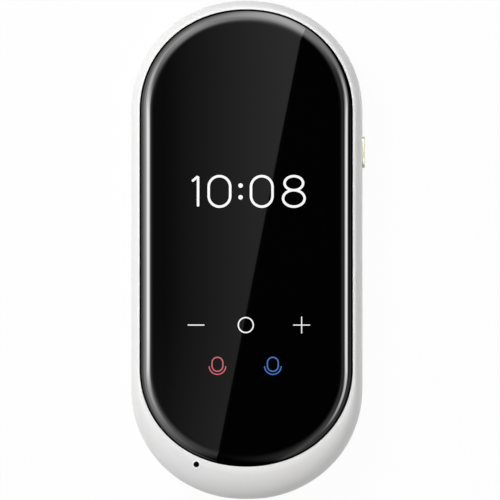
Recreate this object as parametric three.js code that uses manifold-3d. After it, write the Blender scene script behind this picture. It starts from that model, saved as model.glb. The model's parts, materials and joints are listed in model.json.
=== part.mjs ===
// Handheld translator: a flat, pill-shaped pocket device. A black cover glass with rolled edges
// sits in a white housing, with a chin below it, a power key on the right and a card tray on the left.
// Millimetres. +X points to the power key, +Y to the top end and +Z the way the screen faces.
// The origin is the middle of the flat back, so the device lies on its back at z = 0.
import * as THREE from "three";
import { mergeVertices } from "three/addons/utils/BufferGeometryUtils.js";
import Module from "manifold-3d";

// Display: a 2.4 inch portrait panel, which sets the width of what is round it
const activeWidth = 36.72;
const activeLength = 48.96;
const panelBorder = 1.5;
const panelTail = 1.6;

// Width of each band between the panel and the side of the body
const panelSideRoom = 2.2;
const ledgeWidth = 2.36;
const glassGap = 0.18;
const sideRim = 1.92;

// Length of each zone, from the top end to the bottom end
const topRim = 1.88;
const upperZone = 17.9;
const touchZone = 38.1;
const chin = 7.6;

// Rounded ends: how far each outline's end arc reaches along Y, and how square it is (2 is an ellipse)
const bodyTopRise = 25.6;
const bodyBottomRise = 25.7;
const glassTopRise = 23.4;
const glassBottomRise = 22.5;
const endSquareness = 2.06;

// Layers, from the back to the front
const rearWall = 1.4;
const batteryRoom = 0.9;
const batteryThickness = 4.5;
const tapeThickness = 0.2;
const chassisThickness = 0.8;
const backlightThickness = 1.15;
const cellThickness = 0.9;
const sensorThickness = 0.25;
const glassThickness = 1.6;
const boardThickness = 0.8;

// Outer form
const sideWall = 1.5;
const beltHeight = 2.6;
const rearInset = 9;
const glassRollWidth = 3.3;
const glassRollDrop = 1.15;
const rimStep = 0.05;
const landWidth = 0.35;
const seamHeight = 2.8;
const seamGap = 0.12;

// Places along the device
const keyFromTop = 34.8;
const trayFromTop = 34.8;
const boardEndMargin = 3.8;
const antennaLength = 6.4;
const subBoardLength = 26.4;
const packGap = 0.6;

// Clearances and mesh steps
const stackGap = 0.05;
const fitGap = 0.12;
const overrun = 1;
const endSteps = 30;
const rollSteps = 8;
const roundSides = 16;
const smallSides = 10;

// Widths and lengths that follow
const panelHalf = activeWidth / 2 + panelBorder;
const ledgeHalf = panelHalf + panelSideRoom;
const glassHalf = ledgeHalf + ledgeWidth;
const bodyHalf = glassHalf + glassGap + sideRim;
const cavityHalf = bodyHalf - sideWall;
const bodyLength = topRim + upperZone + activeLength + touchZone + chin;
const bodyTop = bodyLength / 2;
const bodyBottom = -bodyTop;
const glassTopTip = bodyTop - topRim;
const glassBottomTip = bodyBottom + chin;
const activeTop = glassTopTip - upperZone;
const activeBottom = activeTop - activeLength;
const keyY = bodyTop - keyFromTop;
const trayY = bodyTop - trayFromTop;

// Heights that follow, from the back face up
const batteryBottom = rearWall + batteryRoom;
const batteryTop = batteryBottom + batteryThickness;
const chassisBottom = batteryTop + tapeThickness + 2 * stackGap;
const chassisTop = chassisBottom + chassisThickness;
const backlightBottom = chassisTop + stackGap;
const backlightTop = backlightBottom + backlightThickness;
const cellBottom = backlightTop + stackGap;
const cellTop = cellBottom + cellThickness;
const sensorBottom = cellTop + stackGap;
const sensorTop = sensorBottom + sensorThickness;
const glassBottom = sensorTop + stackGap;
const glassTop = glassBottom + glassThickness;
const glassEdge = glassTop - glassRollDrop;
const ledgeBottom = chassisTop + stackGap;
const ledgeTop = sensorBottom - stackGap;
const rimTop = glassEdge + rimStep;
const boardTop = chassisBottom - stackGap;
const boardBottom = boardTop - boardThickness;
const seamTop = seamHeight + seamGap / 2;
const seamBottom = seamHeight - seamGap / 2;

const wasm = await Module();
wasm.setup();

// Solids from three.js geometry, and back

function solidFrom(geometry) {
  const bare = geometry.index ? geometry.toNonIndexed() : geometry.clone();
  bare.deleteAttribute("normal");
  bare.deleteAttribute("uv");
  const merged = mergeVertices(bare);
  const mesh = new wasm.Mesh({
    numProp: 3,
    vertProperties: merged.attributes.position.array,
    triVerts: new Uint32Array(merged.index.array),
  });
  return new wasm.Manifold(mesh);
}

function geometryFrom(solid) {
  const mesh = solid.getMesh();
  const geometry = new THREE.BufferGeometry();
  geometry.setAttribute("position", new THREE.BufferAttribute(mesh.vertProperties, mesh.numProp));
  geometry.setIndex(new THREE.BufferAttribute(mesh.triVerts, 1));
  geometry.computeVertexNormals();
  return geometry;
}

function cut(base, ...tools) {
  return tools.reduce((left, tool) => left.subtract(tool), base);
}

function join(base, ...others) {
  return others.reduce((whole, other) => whole.add(other), base);
}

// Outlines: closed loops of points, counterclockwise seen from +Z

const bodyOutline = {
  half: bodyHalf,
  top: bodyTop,
  bottom: bodyBottom,
  topRise: bodyTopRise,
  bottomRise: bodyBottomRise,
};
const glassOutline = {
  half: glassHalf,
  top: glassTopTip,
  bottom: glassBottomTip,
  topRise: glassTopRise,
  bottomRise: glassBottomRise,
};

function inset(outline, distance) {
  return {
    half: outline.half - distance,
    top: outline.top - distance,
    bottom: outline.bottom + distance,
    topRise: outline.topRise - distance,
    bottomRise: outline.bottomRise - distance,
  };
}

// One point of an outline: angle 0 is the right side, a quarter turn the top tip.
function outlinePoint(outline, angle, end) {
  const power = 2 / endSquareness;
  const across = Math.cos(angle);
  const along = Math.sin(angle);
  const x = outline.half * Math.sign(across) * Math.abs(across) ** power;
  const reach = Math.abs(along) ** power;
  const y =
    end === "top"
      ? outline.top - outline.topRise * (1 - reach)
      : outline.bottom + outline.bottomRise * (1 - reach);
  return new THREE.Vector2(x, y);
}

function outlinePoints(outline) {
  const points = [];
  for (let i = 0; i <= endSteps; i++) {
    points.push(outlinePoint(outline, (Math.PI * i) / endSteps, "top"));
  }
  for (let i = 0; i <= endSteps; i++) {
    points.push(outlinePoint(outline, Math.PI * (1 + i / endSteps), "bottom"));
  }
  return points;
}

const recessOutline = inset(glassOutline, -glassGap);
const landOutline = inset(recessOutline, -landWidth);
const ledgeOutline = inset(glassOutline, ledgeWidth);
const cavityOutline = inset(bodyOutline, sideWall);

// A long round-ended loop, centred on the origin.
function pillPoints(length, height, sides = smallSides) {
  const radius = height / 2;
  const shift = length / 2 - radius;
  const points = [];
  for (const side of [1, -1]) {
    for (let i = 0; i <= sides; i++) {
      const angle = (side * -Math.PI) / 2 + (Math.PI * i) / sides;
      points.push(
        new THREE.Vector2(side * shift + radius * Math.cos(angle), radius * Math.sin(angle)),
      );
    }
  }
  return points;
}

// Basic solids

function box(low, high) {
  const size = high.map((value, i) => value - low[i]);
  const centre = high.map((value, i) => (value + low[i]) / 2);
  return solidFrom(new THREE.BoxGeometry(...size).translate(...centre));
}

function extruded(points, depth, holes = []) {
  const shape = new THREE.Shape(points);
  shape.holes = holes.map((loop) => new THREE.Path(loop));
  return new THREE.ExtrudeGeometry(shape, { depth, bevelEnabled: false });
}

// A flat plate between two heights.
function plate(points, low, high, holes = []) {
  return solidFrom(extruded(points, high - low, holes).translate(0, 0, low));
}

// A prism along X, with its outline given as (y, z) about a centre.
function prismAlongX(points, low, high, centre, holes = []) {
  const toX = new THREE.Matrix4().makeBasis(
    new THREE.Vector3(0, 1, 0),
    new THREE.Vector3(0, 0, 1),
    new THREE.Vector3(1, 0, 0),
  );
  const geometry = extruded(points, high - low, holes).applyMatrix4(toX);
  return solidFrom(geometry.translate(low, centre[0], centre[1]));
}

// A prism along Y, with its outline given as (x, z) about a centre.
function prismAlongY(points, low, high, centre, holes = []) {
  const geometry = extruded(points, high - low, holes).rotateX(Math.PI / 2);
  return solidFrom(geometry.translate(centre[0], high, centre[1]));
}

function circlePoints(radius, sides = roundSides) {
  const points = [];
  for (let i = 0; i < sides; i++) {
    const angle = (2 * Math.PI * i) / sides;
    points.push(new THREE.Vector2(radius * Math.cos(angle), radius * Math.sin(angle)));
  }
  return points;
}

// An upright rod between two heights.
function rod(x, y, radius, low, high, sides = roundSides) {
  const geometry = new THREE.CylinderGeometry(radius, radius, high - low, sides);
  return solidFrom(geometry.rotateX(Math.PI / 2).translate(x, y, (low + high) / 2));
}

// Skins a stack of rings, each { points, z }. It is capped at both ends, or closed on itself like a
// picture frame when looped is true.
function skinned(rings, looped = false) {
  const count = rings[0].points.length;
  const positions = [];
  for (const ring of rings) {
    for (const point of ring.points) {
      positions.push(point.x, point.y, ring.z);
    }
  }
  const indices = [];
  const spans = looped ? rings.length : rings.length - 1;
  for (let r = 0; r < spans; r++) {
    const lower = r * count;
    const upper = ((r + 1) % rings.length) * count;
    for (let i = 0; i < count; i++) {
      const next = (i + 1) % count;
      indices.push(lower + i, lower + next, upper + next);
      indices.push(lower + i, upper + next, upper + i);
    }
  }
  if (!looped) {
    const last = (rings.length - 1) * count;
    for (const [a, b, c] of THREE.ShapeUtils.triangulateShape(rings[0].points, [])) {
      indices.push(a, c, b);
    }
    for (const [a, b, c] of THREE.ShapeUtils.triangulateShape(rings.at(-1).points, [])) {
      indices.push(last + a, last + b, last + c);
    }
  }
  const geometry = new THREE.BufferGeometry();
  geometry.setAttribute("position", new THREE.Float32BufferAttribute(positions, 3));
  geometry.setIndex(indices);
  return solidFrom(geometry);
}

// Materials

function finish(color, roughness, metalness = 0) {
  return new THREE.MeshStandardMaterial({ color, roughness, metalness });
}

const whiteShell = finish(0xe6e6e3, 0.32);
const blackGlass = finish(0x050506, 0.05);
const champagne = finish(0xcbbd94, 0.28, 0.9);
const blackPlastic = finish(0x17181a, 0.55);
const blackRubber = finish(0x111112, 0.85);
const clearFilm = finish(0x2a3036, 0.2);
const panelGlass = finish(0x101418, 0.1);
const whitePlastic = finish(0xdfe1e2, 0.5);
const amberFlex = finish(0xa8641c, 0.45);
const greenBoard = finish(0x12452c, 0.5);
const plainSteel = finish(0xb4b8bb, 0.35, 0.9);
const lightAlloy = finish(0x8d9194, 0.45, 0.8);
const silverPouch = finish(0xa9adb1, 0.4, 0.6);
const redWire = finish(0xb01818, 0.5);
const blackWire = finish(0x151515, 0.5);
const redLens = finish(0xe05565, 0.4);
const blueLens = finish(0x3f78d8, 0.4);
const whiteLens = finish(0xf2f4f4, 0.4);

const device = new THREE.Group();

function add(name, solid, material, group = device) {
  const mesh = new THREE.Mesh(geometryFrom(solid), material);
  mesh.name = name;
  group.add(mesh);
}

// Power key, its slot in the wall and the switch behind it

const keyLength = 7.2;
const keyHeight = 2.4;
const keyProud = 0.57;
const keyCrown = 0.26;
const keyTravel = 0.3;
const keyFlangeLip = 0.7;
const keyFlangeRise = 0.2;
const keyFlangeThickness = 0.5;
const keyNubRadius = 0.55;
const switchLength = 4.6;
const switchHeight = 1.5;
const switchDepth = 2.6;
const plungerLength = 1.7;
const plungerHeight = 0.8;
const plungerProud = 0.55;
const plungerBury = 0.4;
const nubLength = 0.5;

const sideAxisZ = boardBottom - stackGap - switchHeight / 2;
const beltTop = sideAxisZ + beltHeight / 2;
const beltBottom = sideAxisZ - beltHeight / 2;
const flangeOuter = cavityHalf - stackGap;
const flangeInner = flangeOuter - keyFlangeThickness;
const nubTip = flangeInner - nubLength;
const plungerTip = nubTip - stackGap;
const switchFront = plungerTip - plungerProud;
const switchBack = switchFront - switchDepth;
const keyBottomY = keyY - keyLength / 2 - keyFlangeLip;

function pillRing(length, height, margin, x) {
  const points = pillPoints(length - 2 * margin, height - 2 * margin);
  return { points, z: x };
}

function alongX(solid, y, z) {
  return solid.rotate([0, 90, 0]).rotate([90, 0, 0]).translate([0, y, z]);
}

function sideKey() {
  const face = bodyHalf + keyProud;
  const crownSide = keyCrown / 3;
  const cap = skinned([
    pillRing(keyLength, keyHeight, 0, flangeInner),
    pillRing(keyLength, keyHeight, 0, face - keyCrown),
    pillRing(keyLength, keyHeight, crownSide, face - crownSide),
    pillRing(keyLength, keyHeight, keyCrown, face),
  ]);
  const flange = pillPoints(keyLength + 2 * keyFlangeLip, keyHeight + 2 * keyFlangeRise);
  return join(
    alongX(cap, keyY, sideAxisZ),
    prismAlongX(flange, flangeInner, flangeOuter, [keyY, sideAxisZ]),
    prismAlongX(circlePoints(keyNubRadius, smallSides), nubTip, flangeOuter, [keyY, sideAxisZ]),
  );
}

function keySlot() {
  const points = pillPoints(keyLength + 2 * fitGap, keyHeight + 2 * fitGap);
  return prismAlongX(points, cavityHalf - overrun, bodyHalf + overrun, [keyY, sideAxisZ]);
}

function plungerBlock(low, high, margin) {
  const halfLength = plungerLength / 2 + margin;
  const halfHeight = plungerHeight / 2 + margin;
  return box(
    [low, keyY - halfLength, sideAxisZ - halfHeight],
    [high, keyY + halfLength, sideAxisZ + halfHeight],
  );
}

function keySwitch() {
  const body = box(
    [switchBack, keyY - switchLength / 2, sideAxisZ - switchHeight / 2],
    [switchFront, keyY + switchLength / 2, sideAxisZ + switchHeight / 2],
  );
  const pocketDepth = plungerBury + keyTravel + stackGap;
  return cut(body, plungerBlock(switchFront - pocketDepth, switchFront + overrun, stackGap));
}

// Card tray on the left side, with its slot, seal and reader

const trayFaceLength = 12.6;
const trayFaceHeight = 2.2;
const trayFaceThickness = 1.3;
const trayFlush = 0.03;
const trayWidth = 10.8;
const trayDepth = 15.4;
const trayThickness = 1;
const cardLength = 12.4;
const cardWidth = 8.9;
const cardDepth = 0.7;
const cardLedge = 0.6;
const cardMargin = 1.3;
const pinHoleRadius = 0.45;
const pinHoleShift = 4.7;
const sealThickness = 0.45;
const sealLip = 0.5;
const readerWall = 0.2;
const readerSide = 0.4;
const readerStart = 0.7;

const trayFaceOuter = -bodyHalf + trayFlush;
const trayFaceInner = trayFaceOuter + trayFaceThickness;
const trayEnd = trayFaceInner + trayDepth;
const readerEnd = trayEnd + stackGap + readerSide;
const readerBottomY = trayY - trayWidth / 2 - stackGap - readerSide;

function trayBlock(low, high, halfWidth, bottom, top) {
  return box([low, trayY - halfWidth, bottom], [high, trayY + halfWidth, top]);
}

function cardTray() {
  const trayBottom = sideAxisZ - trayThickness / 2;
  const trayTop = sideAxisZ + trayThickness / 2;
  const face = prismAlongX(
    pillPoints(trayFaceLength, trayFaceHeight),
    trayFaceOuter,
    trayFaceInner,
    [trayY, sideAxisZ],
  );
  const blade = trayBlock(trayFaceInner, trayEnd, trayWidth / 2, trayBottom, trayTop);
  const cardEnd = trayEnd - cardMargin;
  const cardStart = cardEnd - cardLength;
  const pocket = trayBlock(cardStart, cardEnd, cardWidth / 2, trayTop - cardDepth, trayTop + overrun);
  const window = trayBlock(
    cardStart + cardLedge,
    cardEnd - cardLedge,
    cardWidth / 2 - cardLedge,
    trayBottom - overrun,
    trayTop,
  );
  const pinHole = prismAlongX(
    circlePoints(pinHoleRadius, smallSides),
    trayFaceOuter - overrun,
    trayFaceInner - stackGap,
    [trayY + pinHoleShift, sideAxisZ],
  );
  return cut(join(face, blade), pocket, window, pinHole);
}

function traySeal() {
  const start = trayFaceInner + stackGap;
  const outer = pillPoints(trayWidth + 2 * sealLip, trayThickness + 2 * sealLip);
  const ring = prismAlongX(outer, start, start + sealThickness, [trayY, sideAxisZ]);
  const halfWidth = trayWidth / 2 + stackGap;
  const halfThickness = trayThickness / 2 + stackGap;
  const hole = trayBlock(
    start - overrun,
    start + sealThickness + overrun,
    halfWidth,
    sideAxisZ - halfThickness,
    sideAxisZ + halfThickness,
  );
  return cut(ring, hole);
}

function traySlot() {
  const points = pillPoints(trayFaceLength + 2 * fitGap, trayFaceHeight + 2 * fitGap);
  return prismAlongX(points, -bodyHalf - overrun, -cavityHalf + overrun, [trayY, sideAxisZ]);
}

function cardReader() {
  const start = -cavityHalf + readerStart;
  const halfInner = trayWidth / 2 + stackGap;
  const innerHeight = trayThickness / 2 + stackGap;
  const outerHeight = innerHeight + readerWall;
  const shell = trayBlock(
    start,
    readerEnd,
    halfInner + readerSide,
    sideAxisZ - outerHeight,
    sideAxisZ + outerHeight,
  );
  const mouth = trayBlock(
    start - overrun,
    readerEnd - readerSide,
    halfInner,
    sideAxisZ - innerHeight,
    sideAxisZ + innerHeight,
  );
  return cut(shell, mouth);
}

// Charging socket at the bottom end

const socketWidth = 8.9;
const socketHeight = 3.2;
const socketDepth = 7.3;
const socketWall = 0.3;
const socketSetback = 0.9;
const socketSink = 0.6;
const socketMargin = 0.2;
const tongueWidth = 6.7;
const tongueThickness = 0.7;
const tongueLength = 4.6;

const socketZ = boardBottom + socketSink - socketHeight / 2;
const socketMouth = bodyBottom + socketSetback;
const socketBack = socketMouth + socketDepth;

function socketShell() {
  const outer = pillPoints(socketWidth, socketHeight);
  const inner = pillPoints(socketWidth - 2 * socketWall, socketHeight - 2 * socketWall);
  const shell = prismAlongY(outer, socketMouth, socketBack, [0, socketZ]);
  const bore = prismAlongY(inner, socketMouth - overrun, socketBack - socketWall, [0, socketZ]);
  return cut(shell, bore);
}

function socketTongue() {
  const back = socketBack - socketWall - stackGap;
  return box(
    [-tongueWidth / 2, back - tongueLength, socketZ - tongueThickness / 2],
    [tongueWidth / 2, back, socketZ + tongueThickness / 2],
  );
}

function socketOpening() {
  const points = pillPoints(socketWidth + 2 * socketMargin, socketHeight + 2 * socketMargin);
  return prismAlongY(points, bodyBottom - overrun, bodyBottom + sideWall + overrun, [0, socketZ]);
}

// Microphones

const micX = -11.35;
const micFromGlass = 0.4;
const micHoleRadius = 0.58;
const micLength = 3.5;
const micWidth = 2.6;
const micHeight = 1;
const bootRadius = 1.6;
const bootGap = 0.2;
const portRadius = 0.4;
const topMicX = 11.5;
const topMicRadius = 0.5;

const micY = glassBottomTip + micFromGlass;

function microphoneBoot() {
  const bore = rod(micX, micY, micHoleRadius, boardTop, ledgeBottom + overrun);
  return cut(rod(micX, micY, bootRadius, boardTop + stackGap, ledgeBottom - stackGap), bore);
}

function bottomMicrophone() {
  const top = boardBottom - stackGap;
  const body = box(
    [micX - micLength / 2, micY - micWidth / 2, top - micHeight],
    [micX + micLength / 2, micY + micWidth / 2, top],
  );
  return cut(body, rod(micX, micY, portRadius, top - micHeight / 2, top + overrun, smallSides));
}

// Places on the main board: the battery's plug left of the key's switch, and the metal lids between
// the card reader and that plug, below the display's flex

const flexThickness = 0.12;
const flexSlotGap = 0.3;
const boardPartGap = 0.6;
const plugWidth = 4.2;
const plugKeyGap = 2.71;
const processorLength = 10;
const processorHeight = 1.9;
const radioInset = 2;
const radioLength = 11.4;
const radioHeight = 1.7;
const shieldThickness = 0.2;

const panelTop = activeTop + panelBorder + panelTail;
const panelBottom = activeBottom - panelBorder;
const flexY = panelTop + flexSlotGap + flexThickness / 2;
const shieldLeft = readerEnd + boardPartGap;
const plugX = switchBack - plugKeyGap - plugWidth / 2;
const processorRight = plugX - plugWidth / 2 - boardPartGap;
const processorTopY = flexY - flexThickness / 2 - flexSlotGap - boardPartGap;
const processorBottomY = processorTopY - processorLength;
const radioTopY = processorBottomY - boardPartGap;
const radioBottomY = radioTopY - radioLength;

// Fasteners: six screws hold the boards and the chassis up against the housing's ledge

const screwRadius = 0.65;
const screwHoleMargin = 0.1;
const screwHeadRadius = 1.1;
const screwHeadHeight = 0.7;
const screwTipDepth = 1.6;
const recessArm = 0.62;
const recessWidth = 0.28;
const recessDepth = 0.35;
const topScrewAngle = (38 * Math.PI) / 180;
const bottomScrewAngle = (-50 * Math.PI) / 180;
const midScrewInset = 2.2;

const mainBoardTop = bodyTop - sideWall - antennaLength - packGap;
const mainBoardBottom = Math.min(readerBottomY, keyBottomY, radioBottomY) - boardEndMargin;
const subBoardTop = bodyBottom + sideWall + packGap + subBoardLength;

// Halfway between the ledge's inner edge and the housing's inner wall.
function rimSpot(angle, end) {
  const inner = outlinePoint(ledgeOutline, angle, end);
  return inner.add(outlinePoint(cavityOutline, angle, end)).divideScalar(2);
}

function screwSpots() {
  const top = rimSpot(topScrewAngle, "top");
  const bottom = rimSpot(bottomScrewAngle, "bottom");
  const mid = new THREE.Vector2((ledgeHalf + cavityHalf) / 2, mainBoardBottom + midScrewInset);
  return [top, mid, bottom].flatMap((spot) => [
    new THREE.Vector2(-spot.x, spot.y),
    new THREE.Vector2(spot.x, spot.y),
  ]);
}

function chassisScrew(spot) {
  const headTop = boardBottom - stackGap;
  const headBottom = headTop - screwHeadHeight;
  const head = rod(spot.x, spot.y, screwHeadRadius, headBottom, headTop);
  const shank = rod(spot.x, spot.y, screwRadius, headTop - stackGap, ledgeBottom + screwTipDepth);
  const arms = [
    [recessArm, recessWidth / 2],
    [recessWidth / 2, recessArm],
  ].map(([halfX, halfY]) =>
    box(
      [spot.x - halfX, spot.y - halfY, headBottom - overrun],
      [spot.x + halfX, spot.y + halfY, headBottom + recessDepth],
    ),
  );
  return cut(join(head, shank), ...arms);
}

function screwHoles(low, high) {
  const radius = screwRadius + screwHoleMargin;
  return screwSpots().map((spot) => rod(spot.x, spot.y, radius, low, high));
}

// Snap hooks of the rear cover, and the pockets in the housing that they catch in

const hookLength = 4;
const hookProud = 0.35;
const hookPitch = 24;
const hookRise = 0.3;
const hookHeight = 0.5;
const hookPlay = 0.15;
const lipHeight = 1;
const lipThickness = 0.9;
const lipGap = 0.1;

const hookPlaces = [-hookPitch, 0, hookPitch];
const lipTop = seamBottom + lipHeight;
const lipOuter = sideWall + lipGap;

function hookBlocks(play) {
  const bottom = seamTop + hookRise - play;
  const top = seamTop + hookRise + hookHeight + play;
  const inner = bodyHalf - lipOuter - lipThickness / 2;
  const outer = bodyHalf - lipOuter + hookProud + play;
  const half = hookLength / 2 + play;
  return hookPlaces.flatMap((y) => [
    box([inner, y - half, bottom], [outer, y + half, top]),
    box([-outer, y - half, bottom], [-inner, y + half, top]),
  ]);
}

// Housing frame: the band round the sides, the rim and chin round the glass, and the ledge under it

function rearRollInset(z) {
  const sine = 1 - z / beltBottom;
  return rearInset * (1 - Math.sqrt(1 - sine * sine));
}

function housingFrame() {
  const body = outlinePoints(bodyOutline);
  const land = outlinePoints(landOutline);
  const rings = [];
  const lowerSteps = rollSteps / 2;
  for (let i = 0; i <= lowerSteps; i++) {
    const z = seamTop + ((beltBottom - seamTop) * i) / lowerSteps;
    rings.push({ points: outlinePoints(inset(bodyOutline, rearRollInset(z))), z });
  }
  for (let i = 0; i <= rollSteps; i++) {
    const angle = (Math.PI / 2) * (i / rollSteps);
    const points = body.map((point, k) => point.clone().lerp(land[k], 1 - Math.cos(angle)));
    rings.push({ points, z: beltTop + (rimTop - beltTop) * Math.sin(angle) });
  }
  const recess = outlinePoints(recessOutline);
  const ledge = outlinePoints(ledgeOutline);
  const cavity = outlinePoints(cavityOutline);
  rings.push({ points: recess, z: rimTop }, { points: recess, z: ledgeTop });
  rings.push({ points: ledge, z: ledgeTop }, { points: ledge, z: ledgeBottom });
  rings.push({ points: cavity, z: ledgeBottom }, { points: cavity, z: seamTop });
  const topMicHole = prismAlongY(
    circlePoints(topMicRadius, smallSides),
    bodyTop - bodyTopRise / 2,
    bodyTop + overrun,
    [topMicX, sideAxisZ],
  );
  return cut(
    skinned(rings, true),
    keySlot(),
    traySlot(),
    socketOpening(),
    topMicHole,
    rod(micX, micY, micHoleRadius, ledgeBottom - overrun, glassTop),
    ...screwHoles(ledgeBottom - overrun, ledgeBottom + screwTipDepth + screwHoleMargin),
    ...hookBlocks(hookPlay),
  );
}

// Rear cover: a shallow tray with rounded sides, a locating lip, snap hooks and the speaker grille

const floorRollStart = 1.6;
const floorInset = 9.4;
const grilleRows = 3;
const grilleColumns = 9;
const grillePitch = 1.7;
const grilleRadius = 0.42;
const speakerFromBottom = 18.5;

const speakerY = bodyBottom + speakerFromBottom;

function grilleHoles() {
  const holes = [];
  for (let row = 0; row < grilleRows; row++) {
    for (let column = 0; column < grilleColumns; column++) {
      const x = (column - (grilleColumns - 1) / 2) * grillePitch;
      const y = speakerY + (row - (grilleRows - 1) / 2) * grillePitch;
      holes.push(rod(x, y, grilleRadius, -overrun, rearWall + overrun, smallSides));
    }
  }
  return holes;
}

function rearCover() {
  const rings = [];
  for (let i = 0; i <= rollSteps; i++) {
    const angle = (Math.PI / 2) * (1 - i / rollSteps);
    const z = Math.min(beltBottom * (1 - Math.sin(angle)), seamBottom);
    rings.push({ points: outlinePoints(inset(bodyOutline, rearRollInset(z))), z });
    if (z === seamBottom) {
      break;
    }
  }
  const lipInner = lipOuter + lipThickness;
  rings.push({ points: outlinePoints(inset(bodyOutline, lipOuter)), z: seamBottom });
  rings.push({ points: outlinePoints(inset(bodyOutline, lipOuter)), z: lipTop });
  rings.push({ points: outlinePoints(inset(bodyOutline, lipInner)), z: lipTop });
  const lowerSteps = rollSteps / 2;
  for (let i = 0; i <= lowerSteps; i++) {
    const angle = (Math.PI / 2) * (i / lowerSteps);
    const distance = lipInner + (floorInset - lipInner) * (1 - Math.cos(angle));
    const z = rearWall + floorRollStart * (1 - Math.sin(angle));
    rings.push({ points: outlinePoints(inset(bodyOutline, distance)), z });
  }
  const socketRoom = box(
    [-socketWidth / 2 - socketMargin, bodyBottom, seamBottom + stackGap],
    [socketWidth / 2 + socketMargin, socketBack, lipTop + overrun],
  );
  return cut(join(cut(skinned(rings), socketRoom), ...hookBlocks(0)), ...grilleHoles());
}

// Cover glass with rolled edges, its bonding tape and the touch sensor behind it

const glassChamfer = 0.15;
const tapeMargin = 0.2;
const sensorMargin = 0.3;

function coverGlass() {
  const rings = [
    { points: outlinePoints(inset(glassOutline, glassChamfer)), z: glassBottom },
    { points: outlinePoints(glassOutline), z: glassBottom + glassChamfer },
  ];
  for (let i = 0; i <= rollSteps; i++) {
    const angle = (Math.PI / 2) * (i / rollSteps);
    const distance = glassRollWidth * (1 - Math.cos(angle));
    const z = glassEdge + glassRollDrop * Math.sin(angle);
    rings.push({ points: outlinePoints(inset(glassOutline, distance)), z });
  }
  return skinned(rings);
}

function glassTape() {
  const outer = outlinePoints(inset(glassOutline, tapeMargin));
  const inner = outlinePoints(inset(ledgeOutline, -tapeMargin));
  return plate(outer, ledgeTop + stackGap, glassBottom - stackGap, [inner]);
}

function touchSensor() {
  return plate(outlinePoints(inset(ledgeOutline, sensorMargin)), sensorBottom, sensorTop);
}

// Display stack, with its flex through the chassis to a connector under the main board

const flexWidth = 8;
const flexRun = 4.2;
const flexStart = 1.2;
const connectorWidth = 9.4;
const connectorLength = 2.2;
const connectorHeight = 0.9;

function backlightUnit() {
  return box([-panelHalf, panelBottom, backlightBottom], [panelHalf, panelTop, backlightTop]);
}

function displayCell() {
  const tailTop = panelTop - flexStart;
  return box([-panelHalf, panelBottom, cellBottom], [panelHalf, tailTop, cellTop]);
}

// A flat strip bent along a path of (y, z) corners, square to each other.
function bentStrip(corners, thickness, width) {
  const half = thickness / 2;
  const legs = corners.slice(1).map((corner, i) => {
    const start = corners[i];
    const low = [-width / 2, Math.min(start[0], corner[0]) - half, Math.min(start[1], corner[1]) - half];
    const high = [width / 2, Math.max(start[0], corner[0]) + half, Math.max(start[1], corner[1]) + half];
    return box(low, high);
  });
  return join(...legs);
}

function displayFlex() {
  const upperZ = cellBottom + flexThickness / 2;
  const lowerZ = boardBottom - stackGap - flexThickness / 2;
  const start = panelTop - flexStart + stackGap + flexThickness / 2;
  return bentStrip(
    [
      [start, upperZ],
      [flexY, upperZ],
      [flexY, lowerZ],
      [flexY + flexRun, lowerZ],
    ],
    flexThickness,
    flexWidth,
  );
}

function flexSlot(low, high) {
  const halfWidth = flexWidth / 2 + flexSlotGap;
  const half = flexThickness / 2 + flexSlotGap;
  return box([-halfWidth, flexY - half, low], [halfWidth, flexY + half, high]);
}

function displayConnector() {
  const top = boardBottom - 2 * stackGap - flexThickness;
  const end = flexY + flexRun;
  return box(
    [-connectorWidth / 2, end - connectorLength, top - connectorHeight],
    [connectorWidth / 2, end, top],
  );
}

// Touch key lights: a board with one lamp for each symbol, in a frame that keeps their light apart

const symbolTopDrop = 5.7;
const symbolBottomDrop = 15.1;
const minusX = -11.3;
const ringX = 0.1;
const plusX = 12.9;
const redMicX = -6.4;
const blueMicX = 6.3;
const symbols = [
  { name: "minus", x: minusX, drop: symbolTopDrop, lens: whiteLens },
  { name: "ring", x: ringX, drop: symbolTopDrop, lens: whiteLens },
  { name: "plus", x: plusX, drop: symbolTopDrop, lens: whiteLens },
  { name: "red_mic", x: redMicX, drop: symbolBottomDrop, lens: redLens },
  { name: "blue_mic", x: blueMicX, drop: symbolBottomDrop, lens: blueLens },
];
const lensRadius = 2.7;
const lensThickness = 0.8;
const lampSize = 1.6;
const lampHeight = 0.5;
const lightBoardThickness = 0.5;
const lightBoardLength = 24;
const lightFrameGap = 0.5;

const lightTop = cellTop;
const lightEdge = panelBottom - lightFrameGap;
const lightBoardTop = chassisTop + stackGap + lightBoardThickness;

// The lower end of the area inside the ledge, below the display.
function lightZone(low, high, length) {
  const area = plate(outlinePoints(inset(ledgeOutline, sensorMargin)), low, high);
  const strip = box([-bodyHalf, lightEdge - length, low - overrun], [bodyHalf, lightEdge, high + overrun]);
  return area.intersect(strip);
}

function lightFrame() {
  const low = lightBoardTop + stackGap;
  const windows = symbols.map(({ x, drop }) =>
    rod(x, activeBottom - drop, lensRadius + stackGap, low - overrun, lightTop + overrun),
  );
  return cut(lightZone(low, lightTop, touchZone), ...windows);
}

function lightBoard() {
  return lightZone(chassisTop + stackGap, lightBoardTop, lightBoardLength);
}

function symbolLamp({ x, drop }) {
  const y = activeBottom - drop;
  const low = lightBoardTop + stackGap;
  const half = lampSize / 2;
  return box([x - half, y - half, low], [x + half, y + half, low + lampHeight]);
}

function symbolLens({ x, drop }) {
  return rod(x, activeBottom - drop, lensRadius, lightTop - lensThickness, lightTop);
}

// Chassis plate between the display and the boards

const chassisMargin = 0.25;
const linkWidth = 7;
const linkLength = 2.6;
const linkDrop = 22;
const linkMargin = 0.4;

const linkY = lightEdge - linkDrop;

function linkBlock(low, high, margin) {
  const halfWidth = linkWidth / 2 + margin;
  const halfLength = linkLength / 2 + margin;
  return box([-halfWidth, linkY - halfLength, low], [halfWidth, linkY + halfLength, high]);
}

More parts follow.
